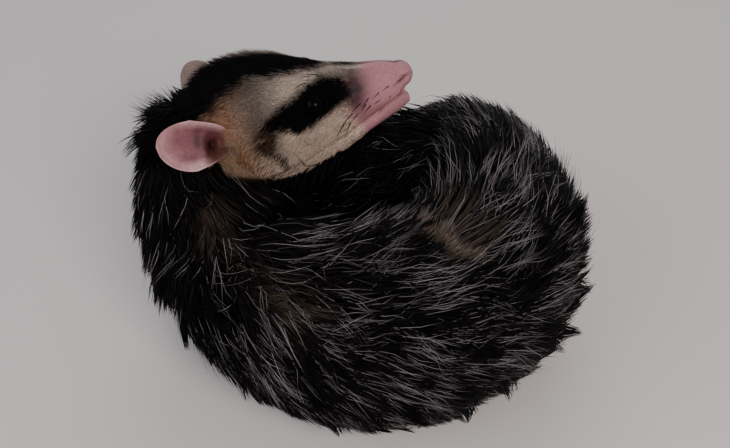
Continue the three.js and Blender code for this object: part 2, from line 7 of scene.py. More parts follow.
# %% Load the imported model
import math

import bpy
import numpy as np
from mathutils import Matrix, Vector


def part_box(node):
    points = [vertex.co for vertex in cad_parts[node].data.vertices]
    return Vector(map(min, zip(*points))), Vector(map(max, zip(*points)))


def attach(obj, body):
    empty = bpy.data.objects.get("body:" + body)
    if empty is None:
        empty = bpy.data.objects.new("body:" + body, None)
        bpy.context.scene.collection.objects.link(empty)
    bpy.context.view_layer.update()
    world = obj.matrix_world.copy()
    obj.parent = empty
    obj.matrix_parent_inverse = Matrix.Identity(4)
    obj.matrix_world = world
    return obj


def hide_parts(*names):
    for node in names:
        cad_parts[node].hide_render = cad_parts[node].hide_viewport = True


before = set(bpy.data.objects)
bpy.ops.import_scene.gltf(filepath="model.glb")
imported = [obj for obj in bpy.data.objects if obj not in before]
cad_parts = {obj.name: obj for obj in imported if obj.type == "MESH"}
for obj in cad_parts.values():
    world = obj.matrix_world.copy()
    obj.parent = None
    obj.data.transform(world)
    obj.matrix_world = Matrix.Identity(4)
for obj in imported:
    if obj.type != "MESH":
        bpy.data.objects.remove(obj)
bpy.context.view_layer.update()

# %% [markdown]
# ## Units
# An animal has no straight edges to measure from, so its sizes are written as stations in millimetres, from
# a point near the middle of the floor under it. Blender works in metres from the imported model's own origin.
# The right eye, which both know, gives the step from one to the other.

MM = 0.001
NOSE_TIP = np.array([22.7, 49.3, 119.6])
HEAD_TURN = (14.5, 13.2, -11.2)  # degrees: turned left, raised, tilted
EYE_PLACE = np.array([-46.5, 15.4, 6.6])  # from the nose tip: forward, out to the side, up
UP = np.array([0.0, 0.0, 1.0])


def unit(vectors):
    """Each vector over its own length."""
    return vectors / np.maximum(np.linalg.norm(vectors, axis=-1, keepdims=True), 1e-9)


def soft(value, edge):
    """0 well below zero, 1 well above it, and a straight ramp of width edge between."""
    return np.clip(value / edge + 0.5, 0, 1)


def bell(distance, width):
    """A smooth hill: 1 in the middle and near 0 at twice its width."""
    return np.exp(-((distance / width) ** 2))


def head_axes():
    """Forward, left and up of the head, as rows, from its turn, rise and tilt."""
    yaw, pitch, roll = np.radians(HEAD_TURN)
    forward = np.array([np.cos(pitch) * np.cos(yaw), np.cos(pitch) * np.sin(yaw), np.sin(pitch)])
    level = np.array([-np.sin(yaw), np.cos(yaw), 0.0])
    left = level * np.cos(roll) + np.cross(forward, level) * np.sin(roll)
    return np.array([forward, left, np.cross(forward, left)])


HEAD_AXES = head_axes()


def head_point(local):
    """Points given as forward, left and up from the nose tip, put among the stations."""
    return np.asarray(local) @ HEAD_AXES + NOSE_TIP


def head_local(points):
    """The way back: forward, left and up from the nose tip."""
    return (np.asarray(points) - NOSE_TIP) @ HEAD_AXES.T


RIGHT, LEFT = -1, 1
eye_box = np.array(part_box("eye_right"))
STEP = head_point(EYE_PLACE * (1, RIGHT, 1)) - eye_box.mean(axis=0) / MM
STEP[2] = 0.0

# %% [markdown]
# ## The camera and the light
# The photo looks down on the animal's back at 42 degrees. A camera is a place, a direction and a lens, so
# the three are set to what the photo shows, before any shape is made. Big soft lamps stand in for a
# bright room.

# %% Camera, lamps and floor
CAMERA_AT = np.array([1.8, -282.84, 327.68])
CAMERA_RISE = 42.0  # degrees above the floor
LENS, FILM = 43.4, 36.0
BODY_MIDDLE = np.array([0, 0, 0.06])
scene = bpy.context.scene


def srgb(code):
    """Hex colour to linear RGB: each channel c becomes c / 12.92, or ((c + 0.055) / 1.055) ** 2.4."""
    parts = [int(code[i : i + 2], 16) / 255 for i in (1, 3, 5)]
    return np.array([c / 12.92 if c <= 0.04045 else ((c + 0.055) / 1.055) ** 2.4 for c in parts])


def new_material(name, **sockets):
    """A material, its node tree and its shader, with sockets of the shader set to the values given."""
    material = bpy.data.materials.new(name)
    material.use_nodes = True
    shader = material.node_tree.nodes["Principled BSDF"]
    for socket, value in sockets.items():
        shader.inputs[socket.replace("_", " ")].default_value = value
    return material, material.node_tree, shader


def add_node(tree, kind, links=(), **settings):
    """Adds a node: settings with an underscore in front are sockets, the rest are its own properties.

    A link is (socket name or number of the new node, output socket of another node).
    """
    node = tree.nodes.new(kind)
    for name, value in settings.items():
        if name.startswith("_"):
            node.inputs[name[1:].replace("_", " ")].default_value = value
        else:
            setattr(node, name, value)
    for socket, output in links:
        tree.links.new(output, node.inputs[socket])
    return node


camera_data = bpy.data.cameras.new("camera")
camera_data.lens = LENS
camera_data.sensor_width = FILM
camera_data.clip_start = 0.01
camera = bpy.data.objects.new("camera", camera_data)
camera.location = (CAMERA_AT - STEP) * MM
camera.rotation_euler = (math.radians(90 - CAMERA_RISE), 0, 0)
scene.collection.objects.link(camera)
scene.camera = camera


def lamp(name, place, size, power, colour):
    """A square lamp that looks at the middle of the animal."""
    data = bpy.data.lights.new(name, "AREA")
    data.size = size
    data.energy = power
    data.color = srgb(colour)
    piece = bpy.data.objects.new(name, data)
    piece.location = place
    towards = BODY_MIDDLE - np.array(place)
    yaw = math.atan2(towards[1], towards[0])
    fall = math.atan2(np.hypot(towards[0], towards[1]), -towards[2])
    piece.rotation_euler = (fall, 0, yaw - math.pi / 2)
    scene.collection.objects.link(piece)


lamp("key_lamp", (0.35, -0.75, 0.75), 0.45, 8.0, "#fff6ec")
lamp("fill_lamp", (-0.8, -0.5, 0.6), 0.9, 4.5, "#eef2ff")
lamp("back_lamp", (0.1, 0.9, 0.7), 0.8, 3.5, "#ffffff")
world = bpy.data.worlds.new("studio")
world.use_nodes = True
sky = world.node_tree.nodes["Background"].inputs
sky["Color"].default_value = (*srgb("#e8e6e6"), 1)
sky["Strength"].default_value = 0.45
scene.world = world

floor_data = bpy.data.meshes.new("floor")
floor_data.from_pydata([(-3, -3, 0), (3, -3, 0), (3, 3, 0), (-3, 3, 0)], [], [(0, 1, 2, 3)])
floor = bpy.data.objects.new("floor", floor_data)
scene.collection.objects.link(floor)
floor_paint = new_material("pale_matt_floor", Base_Color=(*srgb("#cfcacb"), 1), Roughness=0.9)
floor_data.materials.append(floor_paint[0])
print("camera at", [round(c, 3) for c in camera.location])

# %% [markdown]
# ## Forms of the body
# A body is easiest to give as ovals carried along a curve, like the hoops of a barrel. Each form below turns
# a share of its length, an angle round it and a share of the coat's depth into a point, for whole arrays at
# once. The skin, the roots of the hair and the way each hair lies all come from the same forms, so the coat
# follows the body by itself.

# %% Curves and forms
CORE_SHARE = 0.45  # the skin lies under the coat's tips by the rest of the coat's depth
BELLY_SINK = 4.0  # how far the belly would reach below the floor
LIE_TURN = 0.32  # how strongly the lie of the coat turns with the angle round the body
LIE_MIDDLE = math.radians(70)  # where the coat runs straight to the tail
DOME = 0.4  # how far a form bulges past its end, against its half width
NEAR = 1e-4  # step along a path, as a share, for its direction
LITTLE = 1e-3  # step over a form, for its scale
FAR_OFF = 9.0  # a depth that is surely outside
CENTRES = 90  # places along a tube to measure depths from
BLOCK = 4000  # points at a time, so that a table of distances fits into memory


def curve(points, t, centripetal=False):
    """A smooth curve through points, at shares t of their row.

    Between two points it is a cubic. Its slopes at both are half the step from the point before to the
    point after, or, if centripetal, the same with steps weighed by the root of their length.
    """
    points = np.asarray(points, float)
    count = len(points) - 1
    place = np.clip(np.asarray(t, float), 0, 1) * count
    i = np.minimum(place.astype(int), count - 1)
    w = (place - i)[..., None]
    padded = np.vstack([2 * points[0] - points[1], points, 2 * points[-1] - points[-2]])
    a, b, c, d = (padded[i + k] for k in range(4))
    if centripetal:
        steps = (b - a, c - b, d - c)
        ab, bc, cd = (np.sqrt(np.linalg.norm(step, axis=-1, keepdims=True)) for step in steps)
        slope_b = ((b - a) / ab - (c - a) / (ab + bc) + (c - b) / bc) * bc
        slope_c = ((c - b) / bc - (d - b) / (bc + cd) + (d - c) / cd) * bc
    else:
        slope_b, slope_c = (c - a) / 2, (d - b) / 2
    v = 1 - w
    return b * (1 + 2 * w) * v * v + slope_b * w * v * v + c * w * w * (3 - 2 * w) - slope_c * w * w * v


class Form:
    """Anything with a point for each share of its length, angle round it and share of the coat's depth."""

    def scale(self, t, angle):
        """Millimetres over the tips for each unit of t and of angle, from small steps."""
        here = self.point(t, angle, 1.0)
        by_t = np.linalg.norm(self.point(t + LITTLE, angle, 1.0) - here, axis=-1) / LITTLE
        by_angle = np.linalg.norm(self.point(t, angle + LITTLE, 1.0) - here, axis=-1) / LITTLE
        return np.maximum(by_t, 1.0), np.maximum(by_angle, 1.0)


class Tube(Form):
    """Trunk, neck, limb or tail: an oval carried along a curve, with a coat that stands on it.

    Stations are centre x, y, z, half width, height over the centre and depth of the coat.
    """

    def __init__(
        self, stations, belly_on_floor=False, inner_share=1.0, across=UP, core=CORE_SHARE, turn=LIE_TURN
    ):
        self.stations = np.array(stations, float)
        self.belly_on_floor = belly_on_floor
        self.inner_share = inner_share
        self.across = np.array(across, float)
        self.core = core
        self.turn = turn
        self.length = np.linalg.norm(np.diff(self.path(np.linspace(0, 1, 200)), axis=0), axis=1).sum()

    def path(self, t):
        return curve(self.stations[:, :3], t)

    def section(self, t):
        """Centre, direction, outward and upward axes and sizes. Past an end it runs straight on."""
        t = np.asarray(t, float)
        inner = np.clip(t, NEAR, 1 - NEAR)
        along = unit(self.path(inner + NEAR) - self.path(inner - NEAR))
        centre = self.path(t) + along * ((t - np.clip(t, 0, 1)) * self.length)[..., None]
        out = unit(np.cross(along, self.across))
        wide, high, coat = np.moveaxis(curve(self.stations[:, 3:], t), -1, 0)
        return centre, along, out, np.cross(out, along), wide, high, coat

    def point(self, t, angle, share):
        """Angle 0 is the outer side, 90 degrees the top. Share is 0 on the flesh and 1 at the tips."""
        centre, _, out, up, wide, high, coat = self.section(t)
        inside = coat * (1 - share)
        c, s = np.cos(angle), np.sin(angle)
        low = centre[..., 2] + BELLY_SINK if self.belly_on_floor else high - inside
        across = np.where(c < 0, wide * self.inner_share, wide) - inside
        lift = np.where(s > 0, high - inside, low)
        before = np.maximum(-np.asarray(t, float), 0) * self.length / (DOME * wide)
        dome = np.sqrt(np.clip(1 - before**2, 0.01, 1))
        return centre + out * (c * across * dome)[..., None] + up * (s * lift * dome)[..., None]

    def lie(self, t, angle):
        """The coat runs to the tail, down over the outer flank and inwards over the back."""
        return (angle - LIE_MIDDLE) * self.turn

    def depth(self, points):
        """How deep points are in the core: below 1 they are inside it, at 1 on its surface."""
        t = np.linspace(0, 1, CENTRES)
        centre, along, out, up, wide, high, coat = self.section(t)
        best = nearest(points, centre)
        step = points - centre[best]
        far = np.abs((step * along[best]).sum(-1))
        x = (step * out[best]).sum(-1)
        z = (step * up[best]).sum(-1)
        inside = coat[best] * (1 - self.core)
        reach = np.where(x < 0, wide[best] * self.inner_share, wide[best]) - inside
        tall = high[best] - inside
        if self.belly_on_floor:
            tall = np.where(z < 0, centre[best, 2] + BELLY_SINK, tall)
        ends = (best == 0) | (best == len(t) - 1)
        return np.hypot(x / reach, z / tall) + np.where(ends & (far > DOME * wide[best]), FAR_OFF, 0.0)


def nearest(points, places, radii=0.0):
    """For each point the number of the nearest ball, by |p|^2 - 2 p.q + |q|^2 - r^2, in blocks."""
    found = np.empty(len(points), int)
    squares = (places**2).sum(-1) - np.asarray(radii) ** 2
    for i in range(0, len(points), BLOCK):
        block = points[i : i + BLOCK]
        found[i : i + BLOCK] = (squares - 2 * block @ places.T).argmin(axis=1)
    return found


# %% [markdown]
# A skull is no barrel: its top and its underside run apart, and its widest line lies between them. So the
# head has rings of its own kind, given by those three heights and a half width.

# %% The form of a skull or a jaw


class HeadForm(Form):
    """The skull or the lower jaw: rings carried back along the head, squared below their widest line.

    Stations are distance back from the nose tip, half width, top, height of the widest line, underside.
    The cheek is how far to fill up the fold between skull and jaw behind the mouth, in mm.
    """

    def __init__(self, stations, cheek):
        self.stations = np.array(stations, float)
        self.length = self.stations[0, 0] - self.stations[-1, 0]
        self.cheek = cheek

    def ring(self, t):
        """Distance back, half width, top, middle and underside at shares t of the length."""
        return np.moveaxis(curve(self.stations, t), -1, 0)

    def share_at(self, forward):
        """Share of the length at which a ring stands this far forward."""
        return np.interp(-forward, -self.stations[:, 0], np.linspace(0, 1, len(self.stations)))

    def point(self, t, angle, share):
        """Angle 0 is the left side, 90 degrees the top. Share is 0 on the skin and 1 at the fur's tips."""
        t = np.asarray(t, float)
        back, wide, top, middle, under = self.ring(t)
        back = back - (t - np.clip(t, 0, 1)) * self.length
        inside = face_fur_depth(back) * (1 - share)
        c, s = np.cos(angle), np.sin(angle)
        bend = np.where(s < 0, 0.75, 0.92)
        x = np.sign(c) * np.abs(c) ** bend * (wide - inside)
        z = middle + s * (np.where(s > 0, top - middle, middle - under) - inside)
        behind_mouth = soft(-28 - back, 28) * soft(back + 81, 10)
        x = x + np.sign(c) * self.cheek * behind_mouth * bell(z + 14, 3.2)
        return head_point(np.stack([back, x, z], axis=-1))

    def lie(self, t, angle):
        """Back from the nose, and down over the cheeks on both sides."""
        return -0.3 * np.cos(angle)

    def depth(self, points):
        """Below 1 inside the form, by the radius in the ring that stands at the point."""
        local = head_local(points)
        back, wide, top, middle, under = self.ring(self.share_at(local[:, 0]))
        up = local[:, 2] - middle
        tall = np.where(up > 0, top - middle, middle - under)
        past = np.maximum(np.abs(local[:, 0] - back) - 1, 0)
        return np.hypot(local[:, 1] / wide, up / tall) + past


def face_fur_depth(back):
    """Depth of the fur on the head, in mm: none on the nose, more on the crown and cheeks."""
    return np.interp(-back, [0, 18, 32, 55, 80, 103], [0.1, 0.2, 0.4, 0.9, 1.8, 4.0])


# %% [markdown]
# The stations are read off the photo through the camera above. Where the photo shows nothing, as on the legs
# and the tail, they follow what is known of the species.

# %% Stations of the body
trunk = Tube(
    [
        [-61, 50, 60, 17, 19, 7], [-61, 27, 57, 32, 33, 12], [-54, 4, 54, 40, 42, 16],
        [-35, -19, 50, 39, 46, 18], [-7, -30, 50, 45, 47, 19], [25, -26, 51, 47, 48, 20],
        [46, -8, 52, 49, 49, 20], [52, 18, 53, 50, 51, 20], [45, 45, 50, 43, 51, 18],
        [26, 70, 36, 25, 28, 11], [4, 88, 22, 14, 14, 5],
    ],
    belly_on_floor=True,
    inner_share=0.7,
)
neck = Tube(
    [[-62, 36, 104, 21, 21, 5], [-66, 26, 96, 29, 29, 9], [-66, 9, 81, 33, 33, 13], [-58, -8, 60, 36, 36, 16]]
)
thigh = Tube(
    [[46, 46, 48, 28, 46, 13], [22, 40, 50, 28, 45, 13], [-2, 36, 45, 24, 38, 11], [-18, 40, 34, 14, 20, 7]]
)
skull = HeadForm(
    [
        [-5, 5.6, 5.4, -1, -4.5], [-8, 7.6, 7.2, -2, -7], [-14, 9.6, 9.4, -3, -8.8],
        [-22, 11.4, 11.6, -4, -11.6], [-30, 13.2, 14.2, -4, -14], [-38, 15.6, 17.4, -3, -15.5],
        [-48, 19.6, 22, -1, -17], [-58, 23.2, 26.6, 0, -19], [-70, 26.4, 29.4, 1, -20],
        [-82, 26.8, 29, 1, -19], [-92, 23, 25.6, 2, -15], [-99, 16, 19, 3, -9],
        [-103, 7, 11, 4, -4],
    ],
    cheek=3.2,
)
jaw = HeadForm(
    [
        [-6, 3.4, -8, -11, -13.6], [-9, 5.4, -7, -10.4, -14.8], [-16, 7.4, -7, -11.4, -16.4],
        [-24, 9, -8, -13, -18.6], [-37, 12.4, -9, -15.5, -22.6], [-52, 17, -9, -16, -26.4],
        [-64, 19, -9, -15.5, -27.4], [-76, 17.5, -9, -14, -25], [-86, 11, -9, -13, -20],
    ],
    cheek=0.9,
)


def limb(points, coat, across):
    """A round limb through points x, y, z and radius, with a coat that is a share of the radius."""
    stations = [[*p[:3], p[3], p[3], coat * p[3]] for p in points]
    return Tube(stations, across=across, turn=0.0, core=0.5)


SIDEWAYS = (1.0, 0.0, 0.0)
LEG_COAT = 0.28
LEG_POINTS = {
    "hindleg_right": [[0, 42, 28, 12], [4, 50, 17, 9], [8, 52, 8, 6]],
    "foreleg_right": [[-38, 14, 56, 25], [-27, 30, 44, 17], [-25, 36, 20, 9], [-20, 36, 8, 6]],
    "hindleg_left": [[34, 62, 32, 14], [26, 76, 17, 9], [16, 80, 7.5, 6]],
    "foreleg_left": [[-58, 36, 30, 12], [-55, 56, 18, 9], [-46, 66, 8, 6]],
}
legs = {name: limb(points, LEG_COAT, SIDEWAYS) for name, points in LEG_POINTS.items()}
TAIL = [
    [4, 88, 22, 9.5], [-14, 98, 11, 8.8], [-42, 97, 7.6, 8], [-70, 90, 7, 7.4], [-88, 91, 6.4, 6.8],
    [-93, 102, 5.9, 6.3], [-78, 110, 5.4, 5.8], [-50, 112, 4.8, 5.2], [-20, 112.5, 4.2, 4.6],
    [10, 112, 3.6, 4], [34, 107, 3.1, 3.5], [45, 96, 2.6, 3],
]


class Tail(Tube):
    """The tail, whose path weighs its steps by their length, so that it turns back without a bulge."""

    def path(self, t):
        return curve(np.array(TAIL)[:, :3], t, centripetal=True)


tail = Tail([[*p[:3], p[3], p[3], 0.0] for p in TAIL], turn=0.0)
print("trunk length, mm:", round(trunk.length), "tail length, mm:", round(tail.length))

# %% [markdown]
# ## Meshes from whole arrays
# A mesh is a list of points and a list of faces. Both come out of numpy here and go into Blender in one
# call each, because a loop over a million points would take minutes.

# %% Mesh helpers


def new_piece(name, points, faces, material, colours=None):
    """A smooth object from points in mm among the stations and triangles or quads, with its own colours."""
    mesh = bpy.data.meshes.new(name)
    faces = [np.asarray(group, np.int32) for group in faces if len(group)]
    sizes = np.concatenate([np.full(len(group), group.shape[1]) for group in faces])
    corners = np.concatenate([group.ravel() for group in faces])
    mesh.vertices.add(len(points))
    mesh.vertices.foreach_set("co", ((points - STEP) * MM).astype(np.float32).ravel())
    mesh.loops.add(len(corners))
    mesh.loops.foreach_set("vertex_index", corners)
    mesh.polygons.add(len(sizes))
    mesh.polygons.foreach_set("loop_start", np.concatenate([[0], np.cumsum(sizes)[:-1]]).astype(np.int32))
    mesh.polygons.foreach_set("use_smooth", np.ones(len(sizes), bool))
    if colours is not None:
        set_paint(mesh, colours)
    mesh.update(calc_edges=True)
    mesh.validate()
    mesh.materials.append(material)
    piece = bpy.data.objects.new(name, mesh)
    scene.collection.objects.link(piece)
    return piece


def set_paint(mesh, colours):
    """Writes one linear colour a point into the attribute paint."""
    paint = mesh.attributes.new("paint", "FLOAT_COLOR", "POINT")
    opaque = np.column_stack([colours, np.ones(len(colours))])
    paint.data.foreach_set("color", opaque.astype(np.float32).ravel())


def ring_faces(rows, columns):
    """Quads over rows of points that close round, and the triangles to a pole point at each end."""
    row, column = np.meshgrid(np.arange(rows - 1), np.arange(columns), indexing="ij")
    after = (column + 1) % columns
    a, b = row * columns + column, row * columns + after
    quads = np.stack([a, b, b + columns, a + columns], axis=-1).reshape(-1, 4)
    ring = np.arange(columns)
    turned = (ring + 1) % columns
    first, last = rows * columns, rows * columns + 1
    base = (rows - 1) * columns
    start = np.stack([turned, ring, np.full(columns, first)], axis=-1)
    end = np.stack([base + ring, base + turned, np.full(columns, last)], axis=-1)
    return [quads, start, end]


def outward(points, faces):
    """Turns all faces over where the volume that they close comes out negative."""
    triangles = [group[:, [0, k, k + 1]] for group in faces for k in range(1, group.shape[1] - 1)]
    a, b, c = (points[np.concatenate(triangles)[:, k]] for k in range(3))
    if (a * np.cross(b, c)).sum() < 0:
        return [group[:, ::-1] for group in faces]
    return faces


def closed_form(form, rows, columns, share, dome=DOME, dome_rows=4):
    """Points and faces of a form as a closed skin, with a dome of a few rings at each end.

    A dome's ring at angle a is the end ring drawn in by cos(a) and pushed out by sin(a).
    """
    t, angle = np.meshgrid(np.linspace(0, 1, rows), np.arange(columns) / columns * math.tau, indexing="ij")
    grid = form.point(t, angle, share)
    rings, poles = [], []
    for end, inner in ((0, 1), (-1, -2)):
        middle = grid[end].mean(axis=0)
        away = unit(middle - grid[inner].mean(axis=0))
        reach = np.linalg.norm(grid[end] - middle, axis=1).mean() * dome
        turns = np.arange(1, dome_rows + 1) / (dome_rows + 1) * math.pi / 2
        spokes = grid[end] - middle
        rings.append([middle + spokes * math.cos(a) + away * reach * math.sin(a) for a in turns])
        poles.append(middle + away * reach)
    rows_all = np.concatenate([np.array(rings[0])[::-1], grid, np.array(rings[1])])
    points = np.concatenate([rows_all.reshape(-1, 3), np.array(poles)])
    return points, outward(points, ring_faces(len(rows_all), columns))


# %% [markdown]
# ## Markings
# The pattern of the face is what names this opossum: a black stripe over the crown, a black patch round each
# eye, cream between them, tan before the ears, and a bare pink muzzle. One function gives the colour at any
# point of the head, so the skin and each tuft on it always agree.

# %% Colours of skin and coat
# Face, then skin under the coat, coat, ears, and bare or horny ends
CREAM = srgb("#bfaa9c")
# Painted shade on the top of the head
BROW_SHADE = srgb("#988d84")
TAN = srgb("#a87c62")
ORANGE = srgb("#96603c")
BLACK = srgb("#060405")
PINK = srgb("#a2727a")
DUSK = srgb("#3f282d")
# Dark brown: painted shade behind the eye patch and along the crease of the cheek, and the brown edge of the
# crown stripe
TEMPLE = srgb("#2c1d14")
NOSTRIL = srgb("#2a1014")
FLESH_DARK = srgb("#080606")
PART_SKIN = srgb("#6b564c")
CHEEK_SKIN = srgb("#6b5848")
CHEEK_HAIR = srgb("#8f7661")
DARK_ROOT = srgb("#0c0808")
DARK_TIP = srgb("#070506")
UNDERFUR = srgb("#574b43")
WOOL_TIP = srgb("#685d56")
SILVER_ROOT = srgb("#3a3437")
SILVER = srgb("#8d878d")
WHISKER = srgb("#0a0707")
EAR_PINK = srgb("#80545d")
EAR_RIM = srgb("#b88a90")
EAR_EDGE = srgb("#d8aeb0")
EAR_RING = srgb("#58303a")
EAR_HOLLOW = srgb("#552c31")
EAR_FOLD = srgb("#46262e")
EAR_FOOT = srgb("#57382f")
EAR_FLESH = srgb("#6e4035")
EAR_BUFF = srgb("#836f66")
CANAL = srgb("#2a0b0c")
TAIL_DARK = srgb("#3b2f31")
TAIL_PALE = srgb("#b3928b")
PAW_PINK = srgb("#8f6c6d")
CLAW = srgb("#d8c8b4")
LID = srgb("#050304")


def blend(a, b, share):
    """Mix of two colours or arrays of colours, by a share for each point."""
    share = np.clip(share, 0, 1)[:, None]
    return a * (1 - share) + b * share


def painted(colour, *layers):
    """A colour with layers laid over it in turn. Each is a tone and its share at each point."""
    for tone, share in layers:
        colour = blend(colour, tone, share)
    return colour


def ripple(points, size, seed):
    """A smooth random field from -1 to 1, as a mean of sine waves that run in random directions."""
    draw = np.random.default_rng(seed)
    ways = unit(draw.normal(size=(6, 3))) * (math.tau / size) * draw.uniform(0.7, 1.5, (6, 1))
    return np.sin(np.asarray(points) @ ways.T + draw.uniform(0, math.tau, 6)).mean(axis=-1) * 1.8


# Outlines on the head, in mm from the nose tip: how far back, then height or half width
PATCH_BACK = [-29, -31, -35, -41, -46, -50, -55, -58, -63, -67, -70]
PATCH_TOP = [5, 11.2, 13.8, 15.6, 15.1, 14.5, 13.6, 12.8, 12.4, 10.8, 7]
PATCH_LOW = [5, 2.8, 2.0, 1.4, -0.1, -0.4, 0.2, 1.4, 4.3, 7.2, 9]
STRIPE_BACK = [-17, -23, -34, -42, -48, -54, -60, -68, -75, -82, -91, -98]
STRIPE_HALF = [0.0, 1.2, 1.3, 5.8, 8.6, 10.5, 12.0, 12.2, 16.3, 18.0, 17.5, 26.0]
# Line of the painted shade in the crease of the cheek
CREASE_UP = [-16, -12, -8, -3, 0, 5]
CREASE_BACK = [-63.5, -64.5, -65, -68, -70, -71]
CHEEK_EDGE = np.array([0, 0.67, 0.74]), 73.5  # slanting plane below which the neck is black
CHEEK_BACK = [-32, -42, -52, -59, -66, -71, -78, -86, -94]
CHEEK_LOW = [-22, -21, -21, -23, -24, -23.5, -21, -15, -10]
MUZZLE_UP = [-16, -10.5, -3.4, 0.7, 5, 9.2, 12]
MUZZLE_BACK = [-28.6, -31.1, -33.3, -31.1, -27.7, -24.6, -21]
MOUTH_BACK = [-7.7, -10.3, -16.7, -23.6, -34.8]
MOUTH_UP = [-3.4, -6.3, -7.9, -12.8, -14.6]


def outline(back, places, values):
    """A curve drawn through a few points, read at each distance back."""
    return np.interp(-back, -np.array(places), values)


def bare_flesh(points):
    """1 on the bare red flesh in front of the ear, and 0 away from it."""
    forward, side, up = head_local(points).T
    return bell(forward + 86, 5) * bell(up - 4, 6.5) * (np.abs(side) > 16)


def face_colour(points):
    """Colour of the head's skin and fur: cream, with each marking and each painted shade laid over it in
    turn.
    """
    forward, side, up = head_local(points).T
    across = np.abs(side)
    wobble = ripple(points, 9, 5)
    orange = bell(forward + 81, 8) * bell(up - 1, 6) + 0.5 * bell(forward + 84, 5) * bell(up - 12, 7)
    muzzle = forward - np.interp(up, MUZZLE_UP, MUZZLE_BACK)
    dusk = 1.05 * bell(forward + 27.5, 6.5) * bell(up - 6.5, 8)
    dusk = dusk + 0.5 * bell(forward + 30, 5) * bell(up + 1, 4.5)
    top, low = (outline(forward, PATCH_BACK, edge) for edge in (PATCH_TOP, PATCH_LOW))
    patch = np.minimum(np.minimum(top - up, up - low), np.minimum(0.4 * (-28 - forward), forward + 71))
    crease = np.abs(forward - np.interp(up, CREASE_UP, CREASE_BACK) + 0.4 * wobble)
    stripe = outline(forward, STRIPE_BACK, STRIPE_HALF) - 4.5 * soft(side, 4) * soft(-50 - forward, 10)
    cheek_low = outline(forward, CHEEK_BACK, CHEEK_LOW)
    return painted(
        CREAM,
        # Painted shade that greys the top of the head, with a cream spot over the eye where it is lighter
        (BROW_SHADE, soft(up - 8 + wobble, 8)),
        (CREAM, 0.6 * bell(forward + 53, 9) * bell(up - 17.5, 4)),
        # Tan, orange and bare flesh before the ear
        (TAN, 0.8 * soft(-74 - forward + 2 * wobble, 10) * soft(across - 9, 6)),
        (ORANGE, 0.6 * orange * soft(across - 15, 6)),
        (EAR_FLESH, 0.9 * bare_flesh(points)),
        # Painted shade: a dark brown band and spot behind the eye patch
        (TEMPLE, 0.55 * bell(forward + 68.5, 8) * soft(up - 7, 6) * soft(across - 11, 4)),
        (TEMPLE, 1.3 * bell(forward + 68.5, 6) * bell(up - 3, 7) * soft(across - 12, 6)),
        # Bare muzzle, and the dusk before the eye
        (PINK, soft(muzzle + wobble, 5)),
        (DUSK, dusk * (across > 4)),
        # Eye patch, painted shade along the crease of the cheek, and the stripe inside its brown edge
        (BLACK, soft(patch + wobble * 0.4 + 0.3, 3.0) * (across > 4)),
        (TEMPLE, bell(crease, 1.8) * soft(up + 14, 6) * soft(3 - up, 4)),
        (TEMPLE, 0.55 * soft(stripe + 4 - across, 8) * soft(-60 - forward, 12) * (up > 4)),
        (BLACK, soft(stripe - across + 0.6 * wobble, 2.4) * (up > 4)),
        # Underside of the cheek, and the nape
        (BLACK, soft(cheek_low - up + 0.5 * wobble, 2.0) * (forward < -33)),
        (BLACK, soft(-93 - forward + wobble - 0.1 * np.abs(up), 5)),
    )


def cheek_share(points):
    """1 where the pale cheek runs on over the start of the neck, below the ear, and 0 elsewhere."""
    forward, side, up = head_local(points).T
    near = soft(forward + 89, 4) * soft(-70 - forward, 4) * (side < 0)
    return near * soft(points @ CHEEK_EDGE[0] - CHEEK_EDGE[1], 2.0) * soft(8 - up, 4)


# Partings of the coat: two ends among the stations, half width and how open, as a share
PARTINGS = [
    ((12, -7, 93), (24, -23, 99), 1.9, 0.95),
    ((22, -28, 98.5), (42, -41, 94.5), 2.3, 1.0),
    ((-67, -14, 98), (-57, -24, 93), 4.5, 0.34),
    ((-53, -37, 85), (-37, -50, 82), 3.6, 0.48),
]


def parting_share(points):
    """How open the coat is: 1 on the line of a parting, 0 away from all, by the distance to each line."""
    share = np.zeros(len(points))
    for start, end, half, open_share in PARTINGS:
        start, end = np.array(start, float), np.array(end, float)
        along = np.clip((points - start) @ (end - start) / ((end - start) ** 2).sum(), 0, 1)
        step = points - start - along[:, None] * (end - start)
        bend = 1.2 * np.sin(along * 7 + half)
        far = np.hypot(step[:, 0] + bend, step[:, 1] + bend)
        share = np.maximum(share, open_share * bell(far, half) * (np.abs(step[:, 2]) < 25))
    return share


print("markings set for", len(PATCH_BACK), "stations of the eye patch")

# %% [markdown]
# ## Materials
# Real fur is keratin: clear, a little glossy, and dark or pale by its pigment. Bare skin is soft and lets
# light in, so it gets some subsurface light. Each surface reads its colour from the attribute paint, and
# noise at the scale of skin grain or hair breaks it up.

# %% Material of each finish


def finish(name, roughness, noise_mm, depth, contrast, **constants):
    """A painted material: the attribute paint, mottled by noise of a real size, which also raises it.

    Constants are sockets of the shader that are the same all over.
    """
    material, tree, shader = new_material(name, Roughness=roughness, **constants)
    place = add_node(tree, "ShaderNodeTexCoord")
    paint = add_node(tree, "ShaderNodeAttribute", attribute_name="paint")
    links = [("Vector", place.outputs["Object"])]
    grain = add_node(tree, "ShaderNodeTexNoise", links, _Scale=1 / (noise_mm * MM), _Detail=3.0)
    ends = [("Value", grain.outputs["Fac"])]
    tone = add_node(tree, "ShaderNodeMapRange", ends, _To_Min=1 - contrast, _To_Max=1 + contrast)
    tone.inputs["From Min"].default_value = 0.3
    tone.inputs["From Max"].default_value = 0.7
    factors = [(0, paint.outputs["Color"]), ("Scale", tone.outputs["Result"])]
    colour = add_node(tree, "ShaderNodeVectorMath", factors, operation="SCALE")
    tree.links.new(colour.outputs["Vector"], shader.inputs["Base Color"])
    if depth:
        height = [("Height", grain.outputs["Fac"])]
        bump = add_node(tree, "ShaderNodeBump", height, _Distance=depth * MM, _Strength=0.6)
        tree.links.new(bump.outputs["Normal"], shader.inputs["Normal"])
    return material


LIGHT_DEPTH = 0.002  # metres that red light goes under bare skin
